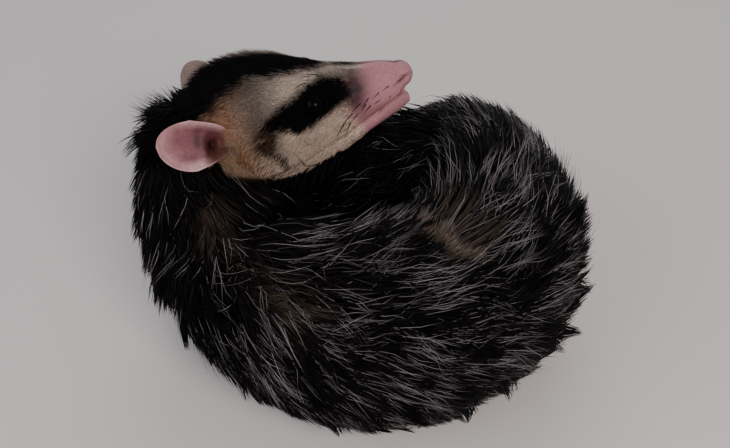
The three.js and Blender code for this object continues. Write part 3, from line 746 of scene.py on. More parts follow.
# Guard hair: keratin with a faint gloss along each hair
fur_dark = finish("guard_hair_keratin", 0.6, 3.0, 0, 0.25, Specular_IOR_Level=0.07)
fur_silver = finish("silver_hair_keratin", 0.5, 6.0, 0, 0.15, Specular_IOR_Level=0.15)
fur_face = finish("short_face_fur", 0.7, 2.5, 0, 0.07, Specular_IOR_Level=0.08)
# Skin under the coat: dull, only glimpsed between the tufts
skin_furred = finish("skin_under_fur", 0.85, 0.8, 0.4, 0.3, Specular_IOR_Level=0.05)
# Bare muzzle: fine-grained and slightly moist, with red light under the skin
skin_muzzle = finish(
    "moist_bare_muzzle", 0.5, 1.1, 0.35, 0.14, Specular_IOR_Level=0.15,
    Subsurface_Weight=0.15, Subsurface_Radius=(0.9, 0.35, 0.25), Subsurface_Scale=LIGHT_DEPTH,
)
# Bare ear: thin, leathery and pink where light comes through
skin_ear = finish(
    "thin_bare_ear", 0.55, 1.6, 0.2, 0.14, Specular_IOR_Level=0.18,
    Subsurface_Weight=0.2, Subsurface_Radius=(1.0, 0.3, 0.2), Subsurface_Scale=LIGHT_DEPTH,
)
# Naked tail: small scales in rings, dry to the touch
skin_tail = finish("scaly_tail_skin", 0.6, 1.0, 0.6, 0.3)
# Soles and toes: bare, wrinkled and slightly waxy
skin_paw = finish("bare_paw_skin", 0.55, 1.0, 0.3, 0.18)
# Lids: black bare skin, moist at their edge
skin_lid = finish("black_lid_skin", 0.8, 0.8, 0.1, 0.15, Specular_IOR_Level=0.03)
claw_horn = finish("claw_horn", 0.35, 1.5, 0, 0.1)
SKIN_FINISHES = [skin_furred, skin_muzzle, skin_ear, skin_tail, skin_paw]
FURRED, MUZZLE, EAR, TAIL_SKIN, PAW = range(5)
print("materials:", [m.name for m in bpy.data.materials])

# %% [markdown]
# ## The skin
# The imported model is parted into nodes, but a body has no seams. Closed forms for the trunk, neck, limbs,
# tail, skull, jaw, nose and ears are joined by a Boolean into a single surface that stands for all of them.
# Lips, nostrils, eye hollows and the folds of the ears are moved into the forms first, as smooth hills and
# grooves.
#
# An ear is a thin cup. It is a sheet with two faces, wide in the middle and round at its end, with a rolled
# rim and a few folds that run down to the canal.

# %% Shape of the ears
EAR_LENGTH, EAR_WIDTH, EAR_CUP = 29.0, 23.5, 6.0
EAR_ROOT = np.array([-86, 21.5, 7.5])
EAR_AXIS = {RIGHT: [-0.9, -0.25, 0.33], LEFT: [-0.5, 0.66, 0.28]}
EAR_OPENING = {RIGHT: [0.2, -0.8, 0.56], LEFT: [0.45, 0.75, -0.2]}
EAR_ROWS, EAR_COLUMNS = 44, 36
EAR_TUCK = 0.24  # how much narrower the ear is on its upper side
EAR_ROOM = 16.0  # mm in front of the sheet that stay free of flesh and hair
SHEET_FRONT, SHEET_BACK = 0.7, -0.6
CANAL_AT = (0.12, -0.25)  # share of the ear's length, and across
print("ears:", EAR_LENGTH, "by", EAR_WIDTH, "mm")


def ear_frame(side):
    """Root, axis, opening direction and width direction of an ear, among the stations."""
    axis = unit(np.array(EAR_AXIS[side])) @ HEAD_AXES
    opening = np.array(EAR_OPENING[side]) @ HEAD_AXES
    opening = unit(opening - axis * (opening @ axis))
    return head_point(EAR_ROOT * (1, side, 1)), axis, opening, np.cross(axis, opening)


def ear_profile(v):
    """Half width of the sheet over its widest half width, at share v of its length."""
    tip = np.sqrt(np.clip(1 - ((v - 0.5) / 0.5) ** 2, 0, 1))
    return np.where(v > 0.5, tip, 0.36 + 0.64 * np.sqrt(np.clip(v / 0.5, 0, 1)))


def ear_height(v, u):
    """How far the sheet stands off the plane of the ear's root, in mm: a cup, highest all round its edge."""
    half = np.where(v > 0.5, 1.0, ear_profile(v))
    out = np.clip(2 * v - 1, 0, 1) ** 2 + (u / half) ** 2
    return 3 - EAR_CUP * (1 - 1.15 * np.minimum(out, 1.1)) * (1 - 0.55 * np.clip(v, 0, 1))


def canal_ring(v, u):
    """Distance from the middle of the inner hollow over its radius: 1 on the ridge round the canal."""
    return np.hypot((v - 0.12) / 0.2, (u + 0.1) / 0.75)


def ear_share(points, side):
    """Share of the ear's length, place across it and distance off the plane of its root."""
    root, axis, opening, across = ear_frame(side)
    step = points - root
    return step @ axis / EAR_LENGTH, step @ across / (EAR_WIDTH / 2), step @ opening


def behind_ears(points):
    """Presses flesh from in front of an ear's sheet back behind it, so that the canal is open."""
    for side in (RIGHT, LEFT):
        v, u, off = ear_share(points, side)
        across = np.abs(u) / np.maximum(ear_profile(v), LITTLE)
        inside = soft(v - 0.03, 0.06) * soft(1 - across, 0.15) * (v < 1)
        push = np.clip(off - ear_height(v, u) + 4 * bell(v - 0.12, 0.1) + 1.2, 0, None) * (off < EAR_ROOM)
        points = points - ear_frame(side)[2] * (push * inside)[:, None]
    return points


def ear_sheet(side, v, u, lift):
    """The sheet at share v of its length and u from -1 to 1 across, raised by lift along its opening.

    Its half width grows as the root of v, then closes as a half circle. The cup is deepest in the middle.
    """
    root, axis, opening, across = ear_frame(side)
    half = EAR_WIDTH / 2 * np.maximum(ear_profile(v), 0.03) * (1 - EAR_TUCK * np.maximum(u, 0))
    edge = np.where(v > 0.5, 1 - np.hypot(2 * v - 1, u * half * 2 / EAR_WIDTH), 1 - np.abs(u))
    rim = bell(edge, 0.1)
    ring = canal_ring(v, u)
    roll = 1.2 * bell(u - 0.82, 0.13) * soft(0.5 - v, 0.3) - 0.4 * bell(u - 0.55, 0.12) * soft(0.45 - v, 0.3)
    ridge = (0.7 * bell(ring - 1.05, 0.35) - 0.4 * bell(ring - 1.75, 0.4)) * soft(v - 0.15, 0.2)
    canal = -3.2 * bell(v - 0.14, 0.09) * bell(u + 0.05, 0.5)
    front = canal + np.where(lift > 0, roll + ridge, 0)
    place = root + axis * (v * EAR_LENGTH)[..., None] + across * (u * half)[..., None]
    height = ear_height(v, u * ear_profile(v))
    return place + opening * (height + rim + lift + front)[..., None]


def canal_distance(points):
    """Distance of each point from the opening of the nearer ear's canal, in mm."""
    v, u = (np.array([share]) for share in CANAL_AT)
    canals = [ear_sheet(side, v, u, 0.0) for side in (RIGHT, LEFT)]
    return np.min([np.linalg.norm(points - canal, axis=-1) for canal in canals], axis=0)


# %% [markdown]
# A skull under thin skin shows as soft hills and hollows. They are a height at each point, and the form's
# points move out along their normals by it. That keeps the mesh even, where sculpting would need a hand.

# %% Skull and jaw, with lips, brow and eye hollows


def face_relief(points):
    """How far the bare head is raised at each point, in mm: eye hollows, brow, whisker pads and lips."""
    forward, side, up = head_local(points).T
    across = np.abs(side)
    hollow = bell(forward - EYE_PLACE[0], 7.5) * bell(up - EYE_PLACE[2], 6.0) * (across > 6)
    brow = bell(forward - EYE_PLACE[0] - 1, 8) * bell(up - EYE_PLACE[2] - 8.5, 3.5) * (across > 4)
    pad = bell(forward + 15, 7) * bell(up + 4, 4) * (across > 3)
    mouth_up = outline(forward, MOUTH_BACK, MOUTH_UP)
    near_mouth = soft(forward + 20, 10)
    line = bell(up - mouth_up, 0.9) * near_mouth
    lips = bell(up - mouth_up, 2.8) * near_mouth
    return -1.6 * hollow + 0.5 * brow + 0.7 * pad + 0.5 * lips - 0.9 * line


def along_normals(points, faces, amount):
    """Moves points by an amount along their normals, each the sum of the areas of the faces round it."""
    normals = np.zeros_like(points)
    for group in faces:
        triangles = [group[:, [0, k, k + 1]] for k in range(1, group.shape[1] - 1)]
        for a, b, c in (t.T for t in triangles):
            area = np.cross(points[b] - points[a], points[c] - points[a])
            for corner in (a, b, c):
                np.add.at(normals, corner, area)
    return points + unit(normals) * np.asarray(amount)[:, None]


def head_piece(name, form, rows, columns):
    """The skull or jaw as a closed skin with its relief."""
    points, faces = closed_form(form, rows, columns, share=0.15, dome=0.55)
    points = behind_ears(along_normals(points, faces, face_relief(points)))
    return new_piece(name, points, faces, skin_furred)


skull_piece = head_piece("skull_form", skull, 150, 112)
jaw_piece = head_piece("jaw_form", jaw, 90, 72)
print("points of skull and jaw:", len(skull_piece.data.vertices), len(jaw_piece.data.vertices))

# %% [markdown]
# The nose is a bare pad, parted down its middle, with a nostril on each side that curls back and down. It
# starts as a ball, and each of these is a hill or a hollow in it.

# %% Nose with comma-shaped nostrils


def sphere_grid(rows, columns):
    """Unit sphere: rows of latitude between the poles, then the two poles, and its faces."""
    fall = np.arange(1, rows + 1) / (rows + 1) * math.pi
    fall, turn = np.meshgrid(fall, np.arange(columns) / columns * math.tau, indexing="ij")
    ball = np.stack([np.cos(fall), np.sin(fall) * np.cos(turn), np.sin(fall) * np.sin(turn)], axis=-1)
    points = np.concatenate([ball.reshape(-1, 3), [[1, 0, 0], [-1, 0, 0]]])
    return points, outward(points, ring_faces(rows, columns))


def nostril_line(forward):
    """Height of the nostril's slit, which falls towards the back as the square of the distance."""
    return 0.9 - 0.03 * (forward + 4.5) ** 2


def nose_piece():
    """The nose pad: a ball with a groove down its middle and two nostrils that curl back and down."""
    ball, faces = sphere_grid(70, 84)
    local = ball * [6.1, 6.5, 5.9] + [-6.3, 0, 0.5]
    forward, side, up = local.T
    across = np.abs(side)
    slit = bell(up - nostril_line(forward), 1.0) * bell(forward + 7.2, 3.6) * soft(across - 2.6, 1.2)
    hole = bell(forward + 4.2, 1.5) * bell(up - 0.2, 1.4) * bell(across - 4.2, 1.6)
    groove = bell(side, 0.7) * soft(forward + 7, 3) * soft(3.5 - up, 2)
    wing = bell(forward + 5.4, 2.4) * bell(up - 2.2, 1.4) * soft(across - 2.5, 1.5)
    drop = -1.9 * slit - 1.3 * hole - 0.55 * groove + 0.5 * wing
    points = along_normals(head_point(local), faces, drop)
    return new_piece("nose_form", points, faces, skin_furred)


nose = nose_piece()
print("points of the nose:", len(nose.data.vertices))

# %% [markdown]
# The ear's sheet becomes a solid with a front, a back and a wall round its edge.

# %% Ears


def ear_piece(side, name):
    """Front and back of the sheet, sewn together round its edge."""
    v, u = np.meshgrid(np.linspace(-0.08, 1, EAR_ROWS), np.linspace(-1, 1, EAR_COLUMNS), indexing="ij")
    sheets = [ear_sheet(side, v, u, lift) for lift in (SHEET_FRONT, SHEET_BACK)]
    points = np.concatenate([sheet.reshape(-1, 3) for sheet in sheets])
    index = np.arange(EAR_ROWS * EAR_COLUMNS).reshape(EAR_ROWS, EAR_COLUMNS)
    a, b, c, d = index[:-1, :-1], index[:-1, 1:], index[1:, 1:], index[1:, :-1]
    quads = np.stack([a, b, c, d], axis=-1).reshape(-1, 4)
    under = quads[:, ::-1] + index.size
    edge = np.concatenate([index[0, :], index[1:, -1], index[-1, -2::-1], index[-2:0:-1, 0]])
    after = np.roll(edge, -1)
    wall = np.stack([after, edge, edge + index.size, after + index.size], axis=-1)
    faces = outward(points, [quads, under, wall])
    return new_piece(name, points, faces, skin_furred)


ears = [ear_piece(RIGHT, "ear_right_form"), ear_piece(LEFT, "ear_left_form")]
print("points of the ears:", [len(ear.data.vertices) for ear in ears])

# %% [markdown]
# Paws have a flat palm and five digits in a fan. The hind paw's first digit is a thumb without a claw, as
# on every opossum. Claws are horn, so they are pieces of their own.

# %% Paws, limbs, trunk and tail
PALM_HALF, DIGIT_RADIUS, CLAW_LENGTH = 4.6, 2.0, 3.4
FORE = dict(long=15, wide=11, digits=9, thumb_claw=True)
HIND = dict(long=26, wide=11, digits=10, thumb_claw=False)
THUMB = (-1.15, -0.05, -0.36, 0.8)  # turn, place along and across the palm, share of a digit's length
KNUCKLE_HEIGHT, WRIST_HEIGHT = 3.0, 4.2
# Size, heading, and on which side of the heading the thumb is
PAWS = {
    "hindleg_right": (HIND, (-1, 0.02, 0), 1),
    "foreleg_right": (FORE, (1, 0.05, 0), 1),
    "hindleg_left": (HIND, (-1, 0.02, 0), -1),
    "foreleg_left": (FORE, (1, 0.03, 0), -1),
}


def turned(vector, angle):
    """A level direction turned about the upright axis."""
    c, s = math.cos(angle), math.sin(angle)
    return np.array([vector[0] * c - vector[1] * s, vector[0] * s + vector[1] * c, 0])


def digit_paths(name):
    """Knuckle, middle and tip of each digit of a paw, and the start and end of its claw."""
    sizes, heading, hand = PAWS[name]
    heading = unit(np.array(heading, float))
    side = np.array([-heading[1], heading[0], 0])
    wrist = legs[name].stations[-1, :3] * (1, 1, 0) + UP * WRIST_HEIGHT
    centre = wrist + heading * sizes["long"] * 0.3
    digits = []
    for i in range(5):
        place = i - 2.5
        fan, along, out, share = (place * 0.26, 0.36, place * 0.24, 1 - abs(place) * 0.08) if i else THUMB
        toward = turned(heading, fan * hand)
        start = centre + heading * sizes["long"] * along + side * sizes["wide"] * out * hand
        start[2] = KNUCKLE_HEIGHT
        tip = start + toward * sizes["digits"] * share
        middle = start + (tip - start) * 0.55 + UP * DIGIT_RADIUS * 0.7
        tip[2] = max(tip[2], DIGIT_RADIUS * 0.8)
        clawed = i > 0 or sizes["thumb_claw"]
        digits.append((np.array([start, middle, tip]), toward, clawed))
    return centre, heading, side, sizes, digits


def rounded(points, radii):
    """A round tube through points with a radius at each."""
    return limb([[*p, r] for p, r in zip(points, radii)], 0.0, UP)


def paw_pieces(name):
    """A palm and its digits as closed skins, and the claws as slim cones that hook down."""
    centre, heading, side, sizes, digits = digit_paths(name)
    ball, faces = sphere_grid(20, 24)
    axes = np.array([heading * sizes["long"] / 2, side * sizes["wide"] / 2, UP * PALM_HALF])
    skins = [new_piece(f"{name}_palm", ball @ axes + centre, faces, skin_furred)]
    claws = []
    for i, (path, toward, clawed) in enumerate(digits):
        form = rounded(path, DIGIT_RADIUS * np.array([1, 0.88, 0.78]))
        points, faces = closed_form(form, 16, 14, 1.0, dome=0.9)
        skins.append(new_piece(f"{name}_digit_{i}", floor_stop(points, 0.1), faces, skin_furred))
        if clawed:
            tip = path[2]
            hook = [tip, tip + toward * 2.4 + UP * 0.3, tip + toward * (CLAW_LENGTH + 1.2) - UP * 0.7]
            form = rounded(hook, [0.95, 0.6, 0.12])
            claws.append(closed_form(form, 9, 8, 1.0, dome=0.4, dome_rows=1))
    return skins, claws


def floor_stop(points, height=0.2):
    """No point lower than a height: the body is pressed flat where it lies."""
    points[..., 2] = np.maximum(points[..., 2], height)
    return points


body_forms = []
claw_shapes = []
for name, form, rows, columns in (
    ("trunk", trunk, 120, 72),
    ("neck", neck, 40, 56),
    ("thigh", thigh, 36, 40),
    *((f"{n}_upper", leg, 28, 28) for n, leg in legs.items()),
):
    points, faces = closed_form(form, rows, columns, form.core)
    body_forms.append(new_piece(f"{name}_form", floor_stop(behind_ears(points)), faces, skin_furred))
for name in legs:
    skins, claws = paw_pieces(name)
    body_forms += skins
    claw_shapes += claws
SCALE_ROW = 1.8  # mm from one ring of tail scales to the next
SCALE_STEPS, SCALE_RISE, TAIL_COLUMNS = 3, 0.14, 28
tail_rows = int(tail.length / SCALE_ROW * SCALE_STEPS)
tail_points, tail_faces = closed_form(tail, tail_rows, TAIL_COLUMNS, 1.0)
ring_number = np.arange(len(tail_points)) // TAIL_COLUMNS
scales = SCALE_RISE * np.cos(ring_number / SCALE_STEPS * math.tau) - 0.1
tail_points = along_normals(tail_points, tail_faces, scales)
body_forms.append(new_piece("tail_form", floor_stop(tail_points), tail_faces, skin_furred))
print("forms of the skin:", len(body_forms) + 5, "claws:", len(claw_shapes))

# %% [markdown]
# The forms pass through each other where a neck meets a chest. A Boolean union keeps only what lies outside
# of all of them, so that one closed surface is left.

# %% Join all forms into one skin


def joined(first, others):
    """The union of closed pieces as one mesh. The pieces that went in are removed."""
    for other in others:
        modifier = first.modifiers.new("join", "BOOLEAN")
        modifier.operation = "UNION"
        modifier.solver = "MANIFOLD"
        modifier.object = other
    graph = bpy.context.evaluated_depsgraph_get()
    mesh = bpy.data.meshes.new_from_object(first.evaluated_get(graph))
    first.modifiers.clear()
    first.data = mesh
    for other in others:
        bpy.data.objects.remove(other)
    return first


skin = joined(body_forms[0], [*body_forms[1:], skull_piece, jaw_piece, nose, *ears])
skin.name = "skin"
skin.data.name = "skin"
skin_points = np.empty(len(skin.data.vertices) * 3, np.float32)
skin.data.vertices.foreach_get("co", skin_points)
skin_points = skin_points.reshape(-1, 3).astype(float) / MM + STEP
print("skin:", len(skin.data.vertices), "points,", len(skin.data.polygons), "faces")

# %% [markdown]
# The joined skin is coloured point by point. Distances to the forms tell which part a point belongs to.

# %% Colour of the skin


def ear_colour(points, side):
    """Pink, paler at the rim, with painted highlight on the rim and edges, dark red in the canal. The back of
    the ear is buff.
    """
    v, u, off = ear_share(points, side)
    behind = (off < ear_height(v, u) - 0.3) & (canal_distance(points) > 8)
    edge = np.where(v > 0.5, 1 - np.hypot(2 * v - 1, u), ear_profile(v) - np.abs(u))
    u = u / np.where(v > 0.5, 1, ear_profile(v))
    ring = canal_ring(v, u)
    slit_line = v - 0.15 + 0.13 * u + 0.03 * ripple(points, 6, 9)
    low_foot = soft(-u - 0.3, 0.4) * soft(0.3 - v, 0.2)
    pale_edge = soft(np.abs(u) - 0.66, 0.3) * soft(0.66 - v, 0.2)
    return painted(
        EAR_PINK,
        # Paler rim and tip, partly their own tone and partly painted highlight
        (EAR_RIM, bell(edge, 0.25) + 0.4 * soft(v - 0.75, 0.5) + 0.3 * ripple(points, 12, 8)),
        # Shade round the canal, in its hollow, in the fold above it and in its slit
        (EAR_RING, 0.85 * bell(ring - 1.35, 0.28) * soft(u + 0.15, 0.4) * soft(0.7 - u, 0.3)),
        (EAR_HOLLOW, 0.8 * soft(0.95 - ring, 0.3) * soft(0.8 - u, 0.2)),
        (EAR_FOLD, 0.8 * bell(v - 0.37, 0.09) * bell(u - 0.15, 0.4)),
        (CANAL, 1.5 * bell(slit_line, 0.08) * soft(0.2 - u, 0.4) * soft(u + 0.9, 0.2)),
        # Foot, which goes over into the cheek, and the pale edges, lightened as painted highlight
        (EAR_FLESH, 0.9 * soft(0.05 - v, 0.06)),
        (EAR_EDGE, 0.75 * pale_edge * (1 - low_foot)),
        (EAR_FOOT, 0.85 * low_foot),
        (EAR_BUFF, 1.0 * (behind | (side == LEFT))),
    )


def is_ear(points, side):
    """True on the ear's sheet, between its edges."""
    v, u, off = ear_share(points, side)
    within = np.abs(u) < ear_profile(v) * (1 - EAR_TUCK * np.clip(u, 0, 1)) * 1.04 + 0.03
    return within & (v > 0.02) & (v < 1.02) & (np.abs(off - ear_height(v, u) - 0.2) < 4.3)


TAIL_MARKS = 300


def skin_colour(points):
    """Colour and kind of finish of each point of the skin."""
    local = head_local(points)
    colour = blend(FLESH_DARK, PART_SKIN, parting_share(points))
    kind = np.full(len(points), FURRED)
    head = (np.minimum(skull.depth(points), jaw.depth(points)) < 1.12) & (local[:, 0] < 1.5)
    head |= (local[:, 0] > -14) & (np.linalg.norm(local, axis=1) < 20)
    colour[head] = face_colour(points[head])
    kind[head & (local[:, 0] > -30)] = MUZZLE
    canal_shade = 1.2 * bell(canal_distance(points), 4.5)
    colour = painted(colour, (CHEEK_SKIN, cheek_share(points)), (CANAL, canal_shade))
    for side in (RIGHT, LEFT):
        ear = is_ear(points, side)
        colour[ear] = ear_colour(points[ear], side)
        kind[ear] = EAR
    path, _, _, _, radius, _, _ = tail.section(np.linspace(0, 1, TAIL_MARKS))
    best = nearest(points, path, radius)
    on_tail = (np.linalg.norm(points - path[best], axis=1) < 11) & (points[:, 1] > 80) & (points[:, 2] < 34)
    share = best / (TAIL_MARKS - 1)
    tail_tone = blend(TAIL_DARK, TAIL_PALE, soft(share - 0.48 + 0.04 * ripple(points, 8, 3), 0.14))
    colour[on_tail] = tail_tone[on_tail]
    kind[on_tail] = TAIL_SKIN
    for name in legs:
        centre, heading, side, sizes, digits = digit_paths(name)
        reach = np.linalg.norm((points - centre) * (1, 1, 0.6), axis=1)
        marks = np.concatenate([curve(path, np.linspace(0, 1, 8)) for path, _, _ in digits])
        paw = np.linalg.norm(points - marks[nearest(points, marks)], axis=1) < DIGIT_RADIUS * 1.5
        axes = np.array([heading * 2 / sizes["long"], side * 2 / sizes["wide"], UP / PALM_HALF])
        paw |= np.linalg.norm((points - centre) @ axes.T, axis=1) < 1.12
        paw &= (kind == FURRED) & (points[:, 2] < 9)
        colour[paw] = blend(FLESH_DARK, PAW_PINK, soft(reach[paw] - sizes["long"] * 0.35, 5))
        kind[paw] = PAW
    return colour, kind


def nostril_shade(points):
    """Dark inside the nostrils and along the line of the mouth, where no light gets in."""
    forward, side, up = head_local(points).T
    across = np.abs(side)
    slit = bell(up - nostril_line(forward), 0.6) * bell(forward + 7.2, 3.4) * (across > 2.6) * (across < 9.5)
    line = bell(up - outline(forward, MOUTH_BACK, MOUTH_UP), 0.55) * soft(forward + 18, 8) * (forward < -7.5)
    return np.maximum(0.9 * slit, 0.75 * line)


skin_paint, skin_kind = skin_colour(skin_points)
set_paint(skin.data, blend(skin_paint, NOSTRIL, nostril_shade(skin_points)))
skin.data.materials.clear()
for material in SKIN_FINISHES:
    skin.data.materials.append(material)
corner_start = np.empty(len(skin.data.polygons), np.int32)
skin.data.polygons.foreach_get("loop_start", corner_start)
corner_point = np.empty(len(skin.data.loops), np.int32)
skin.data.loops.foreach_get("vertex_index", corner_point)
skin.data.polygons.foreach_set("material_index", skin_kind[corner_point[corner_start]].astype(np.int32))
skin.data.polygons.foreach_set("use_smooth", np.ones(len(skin.data.polygons), bool))
skin.data.update()
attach(skin, "root")
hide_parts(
    "head", "jaw", "nose", "ear_left", "ear_right", "neck", "chest", "loin", "rump", "tail_base",
    "foreleg_left", "foreleg_right", "hindleg_left", "hindleg_right",
    "tail_root", "tail_middle", "tail_end", "tail_tip",
)

# %% [markdown]
# ## Eyes and lids
# An eye is a wet ball. Seen in a black patch it shows only by its gloss, so the ball is very dark with a
# low roughness. The lids are an almond ring of bare black skin that holds it.

# %% Eyes, lids and claws
EYE_RADIUS = 5.0
BALL_SHARE = 0.93  # radius of the ball against that of the hole between the lids
eye_wet, eye_tree, eye_shader = new_material(
    "wet_dark_eye", Roughness=0.02, IOR=1.376, Specular_IOR_Level=0.08
)
eye_place = add_node(eye_tree, "ShaderNodeTexCoord")
eye_links = [("Vector", eye_place.outputs["Object"])]
iris = add_node(eye_tree, "ShaderNodeTexNoise", eye_links, _Scale=1 / (1.5 * MM), _Detail=2.0)
iris_tone = add_node(eye_tree, "ShaderNodeValToRGB", [("Fac", iris.outputs["Fac"])])
iris_tone.color_ramp.elements[0].color = (*srgb("#030202"), 1)
iris_tone.color_ramp.elements[1].color = (*srgb("#080504"), 1)
eye_tree.links.new(iris_tone.outputs["Color"], eye_shader.inputs["Base Color"])


def eye_piece(side, name):
    """A ball whose front bulges a little, as the cornea does."""
    ball, faces = sphere_grid(40, 48)
    look = unit(np.array([0.35, side * 0.85, 0.4]))
    bulge = 1 + 0.06 * bell(np.arccos(np.clip(ball @ look, -1, 1)), 0.8)
    local = ball * bulge[:, None] * EYE_RADIUS * BALL_SHARE + EYE_PLACE * (1, side, 1)
    return new_piece(name, head_point(local), faces, eye_wet)


LID_ROWS, LID_COLUMNS = 72, 16


def lid_piece(side, name):
    """An almond ring round the eye: a small oval carried round a wide one, longer at both corners."""
    outwards = unit(np.array([0.2, side * 0.8, 0.5]))
    along = np.array([1.0, 0, -0.1])
    along = unit(along - outwards * (along @ outwards))
    across = unit(np.cross(outwards, along))
    row, column = np.meshgrid(np.arange(LID_ROWS), np.arange(LID_COLUMNS), indexing="ij")
    turn, small = row / LID_ROWS * math.tau, column / LID_COLUMNS * math.tau
    wide, tall = EYE_RADIUS + 0.3, EYE_RADIUS * 0.58
    almond = along * (np.cos(turn) * wide)[..., None] + across * (np.sin(turn) * tall)[..., None]
    spoke = unit(almond)
    drop = -0.35 * (np.linalg.norm(almond, axis=-1) - tall)
    centre = EYE_PLACE * (1, side, 1) + outwards * 3.1 + almond + outwards * drop[..., None]
    ring = centre + spoke * np.cos(small)[..., None] + outwards * (np.sin(small) * 1.2)[..., None]
    points = head_point(ring.reshape(-1, 3))
    here, there = row * LID_COLUMNS, (row + 1) % LID_ROWS * LID_COLUMNS
    after = (column + 1) % LID_COLUMNS
    corners = [here + column, here + after, there + after, there + column]
    faces = outward(points, [np.stack(corners, axis=-1).reshape(-1, 4)])
    return new_piece(name, points, faces, skin_lid, np.tile(LID, (len(points), 1)))


for side, name in ((RIGHT, "right"), (LEFT, "left")):
    eye = eye_piece(side, f"eye_{name}_wet")
    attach(eye, "root")
    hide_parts(f"eye_{name}")
    lids = lid_piece(side, f"lids_{name}")
    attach(lids, "root")

claw_points = np.concatenate([points for points, _ in claw_shapes])
claw_starts = np.cumsum([0] + [len(points) for points, _ in claw_shapes[:-1]])
claw_rows = [(faces, start) for (_, faces), start in zip(claw_shapes, claw_starts)]
claw_faces = [np.concatenate([faces[k] + start for faces, start in claw_rows]) for k in range(3)]
claw_paint = np.tile(CLAW, (len(claw_points), 1))
claws = new_piece("claws", floor_stop(claw_points, 0.15), claw_faces, claw_horn, claw_paint)
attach(claws, "root")
print("eyes, lids and", len(claw_shapes), "claws")

# %% [markdown]
# ## Growing hair
# Hair that Blender grows as curves doesn't leave Blender, so each tuft here is a thin solid blade with three
# sides. A tuft starts in the skin, walks over its form along the lie of the coat and rises to the coat's
# tips. Neighbours lean together into locks, as real fur does.

# %% How tufts walk, lock together and become a mesh
TRIALS = 40000  # random places to pick the roots from
JITTER = 0.3  # mm that a root is moved off the place picked


def spread(form, density, t_range, angle_range, draw):
    """Roots spread evenly by area, as shares and angles: random ones, picked by the area round each."""
    t = draw.uniform(*t_range, TRIALS)
    angle = np.radians(draw.uniform(*angle_range, TRIALS))
    size = form.scale(t, angle)
    area = size[0] * size[1]
    whole = area.mean() * (t_range[1] - t_range[0]) * math.radians(angle_range[1] - angle_range[0])
    wanted = int(whole * density)
    picked = draw.choice(TRIALS, wanted, p=area / area.sum())
    t = t[picked] + draw.normal(0, JITTER, wanted) / size[0][picked]
    angle = angle[picked] + draw.normal(0, JITTER, wanted) / size[1][picked]
    return np.clip(t, *t_range), angle


def walk(form, t, angle, length, lean, start, end, steps, power=0.8):
    """Places and upright directions of tufts, one row a tuft and one column a step.

    Each step goes on by its share of the length, in the direction of the lie plus the tuft's own lean, and
    the height goes from start to end as the share to a power.
    """
    places, uprights = [], []
    before = 0.0
    for s in np.linspace(0, 1, steps + 1):
        if s > 0:
            turn = form.lie(t, angle) + lean
            by_t, by_angle = form.scale(t, angle)
            t = t + (s - before) * length * np.cos(turn) / by_t
            angle = angle + (s - before) * length * np.sin(turn) / by_angle
        before = s
        share = start + (end - start) * s**power
        place = form.point(t, angle, share)
        places.append(place)
        uprights.append(unit(form.point(t, angle, share + 0.2) - place))
    return np.stack(places, axis=1), np.stack(uprights, axis=1)


# %% [markdown]
# A hair is round, but at this size only its outline and its gloss are seen. A blade with three sides gives
# both with few triangles, and its closed foot and tip keep each tuft a solid.

# %% Tufts as a mesh


def blades(paths, uprights, width, thick, taper):
    """Points and faces of tufts: rings of left edge, right edge and ridge, then one tip point each."""
    count, rings = paths.shape[0], paths.shape[1] - 1
    along = unit(np.diff(paths, axis=1))
    side = unit(np.cross(along, uprights[:, :-1]))
    ridge = unit(np.cross(side, along))
    half = (width[:, None] * taper[None, :] / 2)[..., None]
    rise = (thick[:, None] * taper[None, :])[..., None]
    centre = paths[:, :-1]
    ring = np.stack([centre - side * half, centre + side * half, centre + ridge * rise], axis=2)
    points = np.concatenate([ring.reshape(count, -1, 3), paths[:, -1:]], axis=1)
    sides = ((0, 1), (1, 2), (2, 0))
    faces = [[0, 1, 2]]
    for low in range(0, 3 * (rings - 1), 3):
        for a, b in sides:
            faces += [[low + b, low + a, low + 3 + a], [low + b, low + 3 + a, low + 3 + b]]
    tip = 3 * rings
    faces += [[tip - 3 + b, tip - 3 + a, tip] for a, b in sides]
    all_faces = np.array(faces)[None] + (np.arange(count) * (tip + 1))[:, None, None]
    return points, all_faces.reshape(-1, 3)


BAKE_PATCH = 0.003  # size of a tuft's own patch on the unwrap
TAPERS = {2: [1.0, 0.8], 3: [0.9, 1.0, 0.62], 5: [0.8, 1.0, 0.95, 0.75, 0.45]}  # width at each ring


def coat_piece(name, material, slot, *batches):
    """One mesh of tufts from batches of (paths, uprights, width, thick, colours, roots on the unwrap)."""
    points, faces, colours, maps = [], [], [], []
    start = 0
    for paths, uprights, width, thick, root_colour, tip_colour, unwrap in batches:
        if not len(paths):
            continue
        rings = paths.shape[1] - 1
        tuft, tuft_faces = blades(paths, uprights, width, thick, np.array(TAPERS[rings]))
        step = np.append(np.repeat(np.linspace(0, 1, rings + 1)[:-1], 3), 1.0)
        across = np.append(np.tile([-0.5, 0.5, 0.0], rings), 0.0)
        up_tuft = step[None, :, None]
        colour = root_colour[:, None] * (1 - up_tuft) + tip_colour[:, None] * up_tuft
        patch = np.stack([across, step - 0.5], axis=-1) * BAKE_PATCH
        points.append(floor_stop(tuft, 0.25).reshape(-1, 3))
        faces.append(tuft_faces + start)
        colours.append(colour.reshape(-1, 3))
        maps.append((unwrap[:, None] + patch[None]).reshape(-1, 2))
        start += len(points[-1])
    points, faces, colours, maps = (np.concatenate(rows) for rows in (points, faces, colours, maps))
    piece = new_piece(name, points, [faces], material, colours)
    layer = piece.data.uv_layers.new(name="OFBake")
    corners = np.empty(len(piece.data.loops), np.int32)
    piece.data.loops.foreach_get("vertex_index", corners)
    layer.data.foreach_set("uv", maps[corners].astype(np.float32).ravel())
    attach(piece, "root")
    print(f"{name}: {len(faces)} triangles")
    return piece


SHEET_EDGE = 0.01


